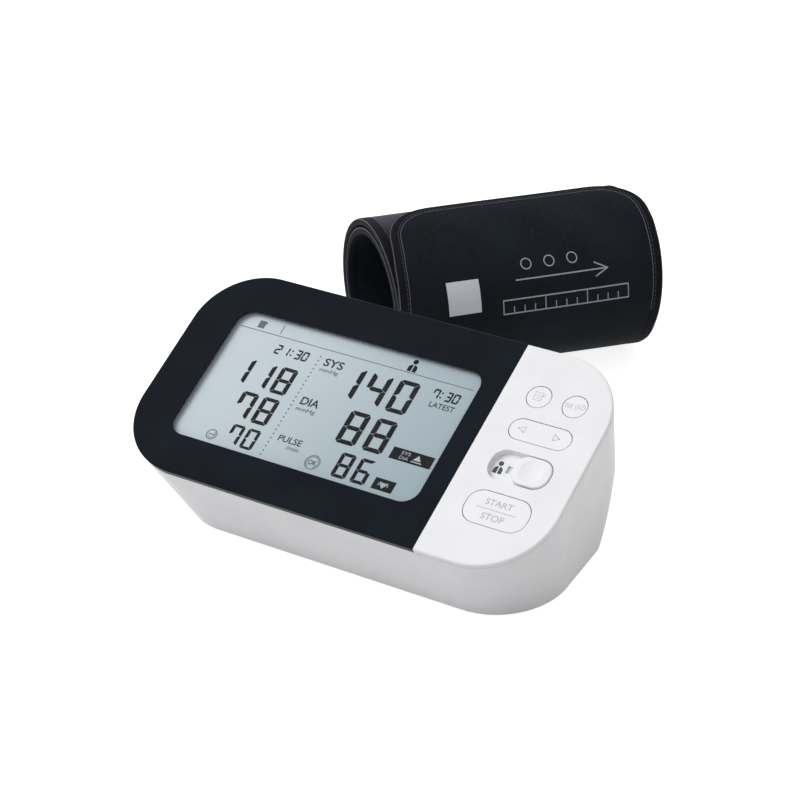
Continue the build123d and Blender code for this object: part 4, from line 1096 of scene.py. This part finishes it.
@dataclass
class Legends:
    """Grey marks on the keys and in the dish of the user slide."""

    face: FaceFrame
    effects: Effects
    line: float = 0.32
    weight: float = 0.015

    def build(self) -> None:
        """Builds the legends, each on its own key."""
        soft = Ink("legend_grey", shade(188, 190, 197), 0.05).material(self.effects)
        faint = Ink("icon_pale_grey", shade(203, 204, 210), 0.05).material(self.effects)
        slate = Ink("figure_slate", shade(74, 82, 97), 0.1).material(self.effects)
        for name, draw, node, body, slot, material in (
                ("start_stop_legend", self.start_stop, "start_stop_button", Body.START, Slot.KEYS, soft),
                ("scroll_arrows", self.arrows, "scroll_button", Body.SCROLL, Slot.KEYS, soft),
                ("memory_icon", self.memory, "memory_button", Body.MEMORY, Slot.KEYS, faint),
                ("connect_icon", self.connect, "connect_button", Body.CONNECT, Slot.KEYS, faint),
                ("user_pictogram", self.user, "upper_case", Body.BASE, Slot.CASE, slate)):
            art = Artwork()
            draw(art)
            settle(art.lay(name, self.face.onto(node)), body, slot, material)

    def start_stop(self, art: Artwork) -> None:
        """Draws START over STOP with a line between.

        Args:
            art: Artwork to draw in.
        """
        art.word("START", (160.8, 172.3, 26.8, 29.5), self.weight)
        art.line([(158.3, 25.0), (175.0, 25.0)], self.line)
        art.word("STOP", (161.8, 171.5, 20.5, 23.3), self.weight)

    def arrows(self, art: Artwork) -> None:
        """Draws the two outlined arrows of the long key."""
        art.loop([(157.6, 61.5), (160.7, 62.9), (160.7, 60.1)], self.line)
        art.loop([(175.5, 61.5), (172.8, 63.0), (172.8, 60.1)], self.line)

    def memory(self, art: Artwork) -> None:
        """Draws a small written sheet.

        Args:
            art: Artwork to draw in.
        """
        art.loop([(157.0, 75.2), (160.2, 75.2), (160.2, 78.9), (157.0, 78.9)], self.line)
        for v in (76.2, 77.1, 78.0):
            art.line([(157.8, v), (159.5, v)], 0.26)
        art.line([(160.2, 77.4), (161.2, 78.2)], 0.5)

    def connect(self, art: Artwork) -> None:
        """Draws a small unit, waves and a ring.

        Args:
            art: Artwork to draw in.
        """
        art.loop([(170.8, 75.8), (173.2, 75.8), (173.2, 77.4), (170.8, 77.4)], self.line)
        art.box((171.3, 172.7, 76.3, 76.9))
        for reach in (1.4, 2.3):
            art.ring((173.6, 76.6), reach, 0.3, -40, 50)
        art.ring((177.4, 77.3), 1.3, self.line)
        art.line([(176.9, 76.6), (177.9, 78.0)], self.line)

    def user(self, art: Artwork) -> None:
        """Draws the figure of the user on the dish floor."""
        art.person(centre=157.3, foot=41.8, height=5.6)


@dataclass
class SlideTongue:
    """Thin tongue on the user slide's stem, which keeps the slot in the dish closed from below."""

    face: FaceFrame
    effects: Effects
    left: float = 157.6
    right: float = 174.0
    middle: float = 44.6
    half_width: float = 2.6
    top: float = 4.05
    thickness: float = 0.35

    def build(self) -> None:
        """Builds the tongue with its rounded ends."""
        art = Artwork(step=3.0)
        radius = self.half_width
        for end, first in ((self.left + radius, 90.0), (self.right - radius, -90.0)):
            art.ring((end, self.middle), radius, radius, first, first + 180.0)
        art.box((self.left + radius, self.right - radius, self.middle - radius, self.middle + radius))
        tongue = art.lay("user_slide_tongue", self.face.at_depth(self.top), self.thickness)
        finish = Moulded("tongue_plastic", shade(226, 226, 230), shade(218, 218, 223), 0.45)
        settle(tongue, Body.SLIDE, Slot.KEYS, finish.material(self.effects))


class Arc(NamedTuple):
    """One arc of the cuff's section: centre, radius, first angle, and the cloth's length before and after."""

    centre: Flat
    radius: float
    first: float
    before: float
    after: float


@dataclass
class Winding:
    """The cuff's spiral section of tangent arcs, with the slight slip of its turns along the roll."""

    place: Flat = (10.2, 180.0)
    turn: float = math.radians(51.0)
    width: float = 130.0
    thickness: float = 3.3
    side_radius: float = 23.1
    side_growth: float = 3.46
    top_radius: float = 36.4
    top_growth: float = 5.16
    side_sweep: float = 96.0
    flap_sweep: float = 44.5
    arc_count: int = 10
    flap_arc: int = 8
    gland_arc: int = 2
    corner: float = 21.0
    wave: float = 0.35
    wave_pitch: float = 0.055
    wave_start: float = 1.3
    wave_twist: float = 0.02
    wave_rise: float = 0.4
    floor_gap: float = 0.02
    left_marks: Triple = (37.0, 55.0, 72.0)
    left_slips: tuple[float, ...] = (0.0, 0.0, -3.0, -0.5, 1.0, 3.6, 7.0)
    right_marks: Triple = (12.0, 33.0, 63.0)
    right_slips: tuple[float, ...] = (-6.0, -6.0, 0.0, 0.0, -6.5, -8.0, -6.4, -4.2, -4.6)
    arcs: list[Arc] = field(default_factory=list)

    def __post_init__(self) -> None:
        """Works out the arcs, the cloth's length, the flap's start and the roll's lowest height."""
        angle = -self.side_sweep / 2
        centre = ((self.top_radius - self.side_radius) * math.cos(math.radians(angle)), 0.0)
        before = 0.0
        for index in range(self.arc_count):
            upright = index % 2 == 1
            start, growth = self.side_radius, self.side_growth
            if upright:
                start, growth = self.top_radius, self.top_growth
            radius = start + growth * index / 4
            span = 180.0 - self.side_sweep if upright else self.side_sweep
            if index == self.arc_count - 1:
                span = self.flap_sweep
            turned = math.radians(angle)
            if self.arcs:
                step = self.arcs[-1].radius - radius
                centre = (centre[0] + math.cos(turned) * step, centre[1] + math.sin(turned) * step)
            after = before + (radius + self.thickness / 2) * math.radians(span)
            self.arcs.append(Arc(centre, radius, turned, before, after))
            before, angle = after, angle + span
        self.length = before
        self.flap_start = self.arcs[self.flap_arc].before
        samples = 400
        self.bottom = min(
            self.section(self.length * k / samples, self.thickness)[0][1] for k in range(samples + 1))

    def section(self, t: float, h: float) -> tuple[Flat, float]:
        """Gives a point of the section.

        Args:
            t: Length along the cloth from its inner end.
            h: Height above the cloth's inner face.

        Returns:
            The point, outward and up, and the direction in which it faces.
        """
        arc = next((arc for arc in self.arcs if t <= arc.after), self.arcs[-1])
        angle = arc.first + (t - arc.before) / (arc.radius + self.thickness / 2)
        reach = arc.radius + h
        return (arc.centre[0] + reach * math.cos(angle), arc.centre[1] + reach * math.sin(angle)), angle

    def slip(self, t: float, at_left: bool) -> float:
        """Gives how far an edge of the cloth has slipped along the roll.

        Args:
            t: Length along the cloth.
            at_left: Whether it is the left edge.

        Returns:
            The slip in millimetres.
        """
        start = self.flap_start
        if at_left:
            before = (0.0, self.arcs[self.flap_arc - 1].before, start)
            marks, slips = self.left_marks, self.left_slips
        else:
            ahead, gland, behind = self.arcs[self.gland_arc - 1:self.gland_arc + 2]
            before = (0.0, ahead.before, gland.before, gland.after, behind.after)
            marks, slips = self.right_marks, self.right_slips
        knots = (*before, *(start + mark for mark in marks), self.length)
        return float(np.interp(t, knots, slips))

    def edges(self, t: float, inset: float = 0.0) -> Flat:
        """Gives the left and right edge of the cloth at a length along it.

        Args:
            t: Length along the cloth.
            inset: Distance kept from the edges.

        Returns:
            Where the cloth begins and ends along the roll.
        """
        radius = max(self.corner - inset, 0.1)
        left_over = max(self.length - inset - t, 0.0)
        cut = 0.0
        if left_over < radius:
            cut = radius - math.sqrt(radius ** 2 - (radius - left_over) ** 2)
        return self.slip(t, True) + inset + cut, self.width + self.slip(t, False) - inset - cut

    def point(self, t: float, s: float, h: float, face: FaceFrame) -> Vector:
        """Gives a point of the wound cloth in metres.

        Args:
            t: Length along the cloth from its inner end.
            s: Distance along the roll from its left end.
            h: Height above the cloth's inner face.
            face: Gives the unit's corner, from which the roll's place is measured.

        Returns:
            The point in the row frame.
        """
        (out, up), angle = self.section(t, h)
        swell = self.wave * math.sin(self.wave_pitch * s + self.wave_start)
        swell *= math.cos(2 * angle + self.wave_twist * s)
        out, up = out + swell * math.cos(angle), up + self.wave_rise * swell * math.sin(angle)
        up = max(up, self.bottom + self.floor_gap + max(self.thickness - h, 0.0))
        x = self.place[0] + s * math.cos(self.turn) + out * math.sin(self.turn)
        y = self.place[1] + s * math.sin(self.turn) - out * math.cos(self.turn)
        return (face.origin + Vector((x, y, up - self.bottom))) * MM


class RimPoint(NamedTuple):
    """A point of the cloth's edge: length, place across and the inward direction in both."""

    t: float
    s: float
    dt: float
    ds: float


@dataclass(frozen=True)
class Layer:
    """One layer of the wound cuff: where it begins and ends, its two heights and its gap to the edges."""

    name: str
    node: str
    slot: Slot
    start: float
    end: float
    heights: Flat
    inset: float


@dataclass
class Cuff:
    """The arm cuff, rolled up: two cloths round bladder and curler, bound all round, with print and label."""

    face: FaceFrame
    effects: Effects
    winding: Winding = field(default_factory=Winding)
    step: float = 2.0
    across: int = 40
    end_rows: int = 12
    crease: float = math.radians(40.0)
    binding_width: float = 4.0
    inner_corner: float = 5.0
    edge_gap: float = 0.5
    core_start: float = 4.0
    core_gap: float = 4.5
    bladder_arc: int = 8
    curler_arc: int = 6
    outer_heights: Flat = (2.55, 3.22)
    inner_heights: Flat = (0.05, 0.7)
    bladder_heights: Flat = (0.75, 1.75)
    curler_heights: Flat = (1.8, 2.5)
    hook_heights: Flat = (-0.1, 0.12)
    hooks_from_flap: float = 10.0
    hooks_from_end: float = 7.0
    hooks_gap: float = 12.0
    smooth_from: float = -10.0
    flap_rise: float = 0.3
    flap_run: float = 25.0
    # radius of the piping cords, real cords whose lighter grey is a painted highlight
    highlight_piping: float = 0.2
    seam_from: float = 20.0
    stitch_gap: float = 0.22
    stitch_inset: float = 0.8
    stitch_height: float = 3.6
    print_height: float = 3.26
    label_height: float = 3.3
    guide: Box = (47.0, 107.0, 29.0, 35.0)
    label: Box = (21.4, 36.6, 31.6, 45.8)
    bladder_fill: float = 0.05

    def build(self) -> None:
        """Builds the cuff's pieces."""
        dark = Cloth("cuff_cloth", shade(12, 17, 21), shade(24, 30, 36), pile=0.2, sheen=0.0)
        loops = Cloth("cuff_loop_cloth", shade(26, 26, 33), shade(50, 49, 60), pitch=0.0009, depth=0.0002,
                      pile=0.9)
        tape = Cloth("cuff_edging", shade(11, 11, 16), shade(22, 22, 29), pitch=0.0007, depth=0.00008,
                     sheen=0.0)
        hooks = Cloth("hook_cloth", shade(22, 24, 28), shade(44, 46, 52), pitch=0.0011, depth=0.0004)
        skin = Moulded("bladder_rubber", shade(44, 44, 50), shade(54, 54, 60), 0.7, grain_depth=0.00002)
        springy = Moulded("curler_sheet", shade(206, 208, 210), shade(190, 192, 196), 0.35)
        cloth, pile, edging, hook, rubber, sheet = (
            finish.material(self.effects) for finish in (dark, loops, tape, hooks, skin, springy))
        wind, gap, start, core = self.winding, self.edge_gap, self.core_start, self.core_gap
        binding = settle(self.binding(), Body.CUFF, Slot.EDGING, edging)
        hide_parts("cuff_binding")
        extras = [binding, *self.trims()]
        outer = self.wrap(Layer("cuff_outer_wrap", "cuff_outer_cloth", Slot.CLOTH, gap, wind.length - gap,
                                self.outer_heights, gap), pile, cloth)
        self.sort_faces(outer)
        inner = self.wrap(Layer("cuff_inner_lining", "cuff_inner_cloth", Slot.CLOTH, gap, wind.length - gap,
                                self.inner_heights, gap), cloth)
        bladder = self.wrap(Layer("cuff_air_bladder", "cuff_bladder", Slot.BLADDER, start,
                                  wind.arcs[self.bladder_arc].after, self.bladder_heights, core), rubber)
        self.wrap(Layer("cuff_spring_sheet", "cuff_curler", Slot.CURLER, start,
                        wind.arcs[self.curler_arc].after, self.curler_heights, core), sheet)
        patch_start, patch_end = wind.flap_start + self.hooks_from_flap, wind.length - self.hooks_from_end
        patch = self.wrap(Layer("cuff_hook_tape", "cuff_hook_patch", Slot.HOOKS, patch_start, patch_end,
                                self.hook_heights, self.hooks_gap), hook)

    def wrap(self, layer: Layer, *materials: bpy.types.Material) -> bpy.types.Object:
        """Builds one closed layer of the wound cuff in place of its CAD node.

        Args:
            layer: The layer.
            materials: Its materials in order.

        Returns:
            The piece.
        """
        start, end = layer.start, layer.end
        rows = math.ceil((end - start) / self.step)
        lengths = [start + (end - start) * k / rows for k in range(rows)]
        lengths += [end - self.step * (1 - k / self.end_rows) ** 2 for k in range(1, self.end_rows + 1)]
        corners: list[Vector] = []
        spots: list[Flat] = []
        for h in layer.heights:
            for t in lengths:
                left, right = self.winding.edges(t, layer.inset)
                for k in range(self.across + 1):
                    s = left + (right - left) * k / self.across
                    corners.append(self.winding.point(t, s, h, self.face))
                    spots.append((t, s))
        wide, deep = self.across + 1, len(lengths)
        over = wide * deep
        faces: list[tuple[int, ...]] = []
        for i in range(deep - 1):
            for a in range(i * wide, i * wide + self.across):
                faces.append((a, a + wide, a + wide + 1, a + 1))
                faces.append((a + over, a + over + 1, a + over + wide + 1, a + over + wide))
        left_side = [(i * wide, (i + 1) * wide) for i in range(deep - 1)]
        right_side = [(b + self.across, a + self.across) for a, b in left_side]
        ends = [(k + 1, k) for k in range(self.across)]
        ends += [((deep - 1) * wide + k, (deep - 1) * wide + k + 1) for k in range(self.across)]
        faces += [(a, a + over, b + over, b) for a, b in left_side + right_side + ends]
        piece = new_piece(layer.name, corners, faces)
        self.finish_mesh(piece, spots)
        settle(piece, Body.CUFF, layer.slot, *materials)
        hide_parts(layer.node)
        return piece

    def finish_mesh(self, piece: bpy.types.Object, spots: Sequence[Flat]) -> None:
        """Makes a mesh smooth, turns its faces outward and gives it coordinates in metres along the cloth.

        Args:
            piece: The piece.
            spots: Length along and across the cloth of each point.
        """
        mesh = piece.data
        layer = mesh.uv_layers.new(name="cloth")
        for loop in mesh.loops:
            t, s = spots[loop.vertex_index]
            layer.data[loop.index].uv = (t * MM, s * MM)
        shell = bmesh.new()
        shell.from_mesh(mesh)
        bmesh.ops.recalc_face_normals(shell, faces=shell.faces)
        for face in shell.faces:
            face.smooth = True
        for edge in shell.edges:
            edge.smooth = edge.calc_face_angle(0.0) < self.crease
        shell.to_mesh(mesh)
        shell.free()

    def sort_faces(self, piece: bpy.types.Object) -> None:
        """Gives the flap the smooth cloth and the turn below it the looped one.

        Args:
            piece: The outer cloth.
        """
        layer = piece.data.uv_layers[0].data
        for face in piece.data.polygons:
            t = layer[face.loop_start].uv[0] / MM
            face.material_index = 1 if t > self.winding.flap_start + self.smooth_from else 0

    def rim(self) -> list[RimPoint]:
        """Gives the cuff's edge all round.

        Returns:
            Points of the edge in order.
        """
        wind, radius, inner = self.winding, self.winding.corner, self.inner_corner
        straight = wind.length - radius - inner
        count = math.ceil(straight / self.step)
        stops = [(inner * (1 - math.cos(b)), inner * (1 - math.sin(b))) for b in quarter_turn(6)]
        stops += [(inner + straight * k / count, 0.0) for k in range(1, count)]
        stops += [(wind.length - radius * (1 - math.sin(b)), radius * (1 - math.cos(b)))
                  for b in quarter_turn(14)]
        left = [(t, wind.slip(t, True) + cut) for t, cut in stops]
        right = [(t, wind.width + wind.slip(t, False) - cut) for t, cut in stops]
        shares = [k / self.across for k in range(1, self.across)]
        far = [(wind.length, left[-1][1] + (right[-1][1] - left[-1][1]) * share) for share in shares]
        near = [(0.0, right[0][1] + (left[0][1] - right[0][1]) * share) for share in shares]
        points = left + far + right[::-1] + near
        rim = []
        for k, (t, s) in enumerate(points):
            before, after = points[k - 1], points[(k + 1) % len(points)]
            dt, ds = after[0] - before[0], after[1] - before[1]
            size = math.hypot(dt, ds) or 1.0
            rim.append(RimPoint(t, s, -ds / size, dt / size))
        return rim

    def sweep(self, name: str, profile: Sequence[Flat], rim: Sequence[RimPoint],
              closed: bool = True) -> bpy.types.Object:
        """Carries a section along a line of the cuff.

        Args:
            name: Name of the piece.
            profile: Section points as distance inward and height, in order round the section.
            rim: Points of the line with their inward directions.
            closed: Whether the line closes.

        Returns:
            The piece.
        """
        wind = self.winding
        corners: list[Vector] = []
        spots: list[Flat] = []
        for t, s, dt, ds in rim:
            flap = (wind.flap_start, wind.flap_start + self.flap_run)
            rise = self.flap_rise * float(np.interp(t, flap, (0.0, 1.0)))
            highest = wind.thickness + wind.floor_gap + rise
            for inward, h in profile:
                at = min(max(t + inward * dt, 0.0), wind.length + 2 * self.flap_rise)
                corners.append(wind.point(at, s + inward * ds, min(h, highest), self.face))
                spots.append((t + s, inward + h))
        ring, count = len(profile), len(rim)
        faces: list[tuple[int, ...]] = []
        for k in range(count if closed else count - 1):
            a, b = k * ring, (k + 1) % count * ring
            faces += [(a + j, a + (j + 1) % ring, b + (j + 1) % ring, b + j) for j in range(ring)]
        if not closed:
            faces += [tuple(range(ring)), tuple(range((count - 1) * ring, count * ring))]
        piece = new_piece(name, corners, faces)
        self.finish_mesh(piece, spots)
        return piece

    def binding(self) -> bpy.types.Object:
        """Builds the tape folded over the cuff's edge all round.

        Returns:
            The piece.
        """
        wide = self.binding_width
        ridges = [(wide, 3.2), (wide - 0.1, 3.42), (wide - 0.8, 3.55), (wide - 1.5, 3.4), (wide - 2.2, 3.52)]
        fold = [(0.9, 3.6), (0.3, 3.5), (-0.15, 3.1), (-0.4, 2.4), (-0.45, 1.65), (-0.4, 0.9), (-0.15, 0.25)]
        under = [(0.3, 0.0), (wide, 0.0), (wide, 0.05)]
        return self.sweep("cuff_edge_tape", ridges + fold + under, self.rim())

    def trims(self) -> list[bpy.types.Object]:
        """Builds lighter grey piping cords, whose colour paints the highlight lines along the binding's
        edges, and stitches, print and label.

        Returns:
            The pieces that lie on the outer cloth.
        """
        highlight_piping, thread, print_ink = (
            Ink(name, tone, spread).material(self.effects) for name, tone, spread in (
                ("highlight_piping_grey", shade(84, 86, 95), 0.2), ("stitch_thread", shade(58, 60, 68), 0.3),
                ("print_grey", shade(150, 154, 162), 0.15)))
        label_cloth = Cloth("label_cloth", shade(196, 198, 208), shade(212, 214, 222), pitch=0.0005,
                            pile=0.1).material(self.effects)
        rim = self.rim()
        flap = [spot for spot in rim if spot.t > self.winding.flap_start + self.seam_from]
        cord = [(math.cos(math.radians(a)) * self.highlight_piping, math.sin(math.radians(a)) * self.highlight_piping)
                for a in range(0, 360, 60)]
        # edge cord on the binding's outer edge, seam cord along its inner edge on the flap: their lighter
        # grey is a painted highlight
        edge = [(x - 0.3, y + 2.9) for x, y in cord]
        seam = [(x + self.binding_width + 0.25, y + 3.25) for x, y in cord]
        edge_highlight_piping = self.sweep("cuff_edge_highlight_piping", edge, rim)
        seam_highlight_piping = self.sweep("cuff_seam_highlight_piping", seam, flap, closed=False)
        stitches = self.stitches(flap).lay("cuff_stitches", self.on_flap(self.stitch_height), 0.12)
        guide = self.print_art().lay("cuff_print", self.on_flap(self.print_height), 0.02)
        label = self.label_art().lay("cuff_label", self.on_flap(self.label_height), 0.05)
        return [
            settle(edge_highlight_piping, Body.CUFF, Slot.EDGING, highlight_piping),
            settle(seam_highlight_piping, Body.CUFF, Slot.EDGING, highlight_piping),
            settle(stitches, Body.CUFF, Slot.EDGING, thread),
            settle(guide, Body.CUFF, Slot.CLOTH, print_ink),
            settle(label, Body.CUFF, Slot.CLOTH, label_cloth)]

    def on_flap(self, height: float) -> Place:
        """Gives a placing function for shapes on the flap: along the roll, and up from the flap's start."""
        return lambda u, v: self.winding.point(self.winding.flap_start + v, u, height, self.face)

    def stitches(self, rim: Sequence[RimPoint]) -> Artwork:
        """Draws the row of stitches that holds the tape, one between each two points of the rim.

        Args:
            rim: The stitched part of the rim.

        Returns:
            The drawing.
        """
        art = Artwork(step=3.0)
        inward = self.binding_width - self.stitch_inset
        spots = [(s + inward * ds, t + inward * dt - self.winding.flap_start) for t, s, dt, ds in rim]
        for (u0, v0), (u1, v1) in zip(spots, spots[1:]):
            du, dv = (u1 - u0) * self.stitch_gap, (v1 - v0) * self.stitch_gap
            art.line([(u0 + du, v0 + dv), (u1 - du, v1 - dv)], 0.32)
        return art

    def print_art(self) -> Artwork:
        """Draws a plain guide of a fitting range with ticks and an index mark.

        Returns:
            The drawing.
        """
        art = Artwork(step=1.0)
        left, right, low, high = self.guide
        line, tick = 0.6, 0.45
        for v in (low, high):
            art.line([(left, v), (right, v)], line)
        for k in range(13):
            u = left + (right - left) * k / 12
            art.line([(u, low), (u, high if k % 4 == 0 else (low + high) / 2)], tick)
        art.line([(54.0, 43.0), (98.0, 43.0)], line)
        art.line([(92.0, 40.0), (98.0, 43.0), (92.0, 46.0)], line)
        for u in (60.0, 71.0, 82.0):
            art.ring((u, 49.5), 2.6, 0.5)
        return art

    def label_art(self) -> Artwork:
        """Draws the bare sewn label.

        Returns:
            The drawing.
        """
        art = Artwork(step=1.0)
        art.box(self.label)
        return art


def main() -> None:
    """Builds the studio, the unit's finishes, its display and legends, and the cuff."""
    logging.basicConfig(level=logging.INFO, format="%(name)s: %(message)s")
    Studio().build()
    effects = Effects()
    face = FaceFrame()
    TableUnit(effects).dress()
    Display(face, effects).build()
    Legends(face, effects).build()
    SlideTongue(face, effects).build()
    Cuff(face, effects).build()


if __name__ == "__main__":
    main()
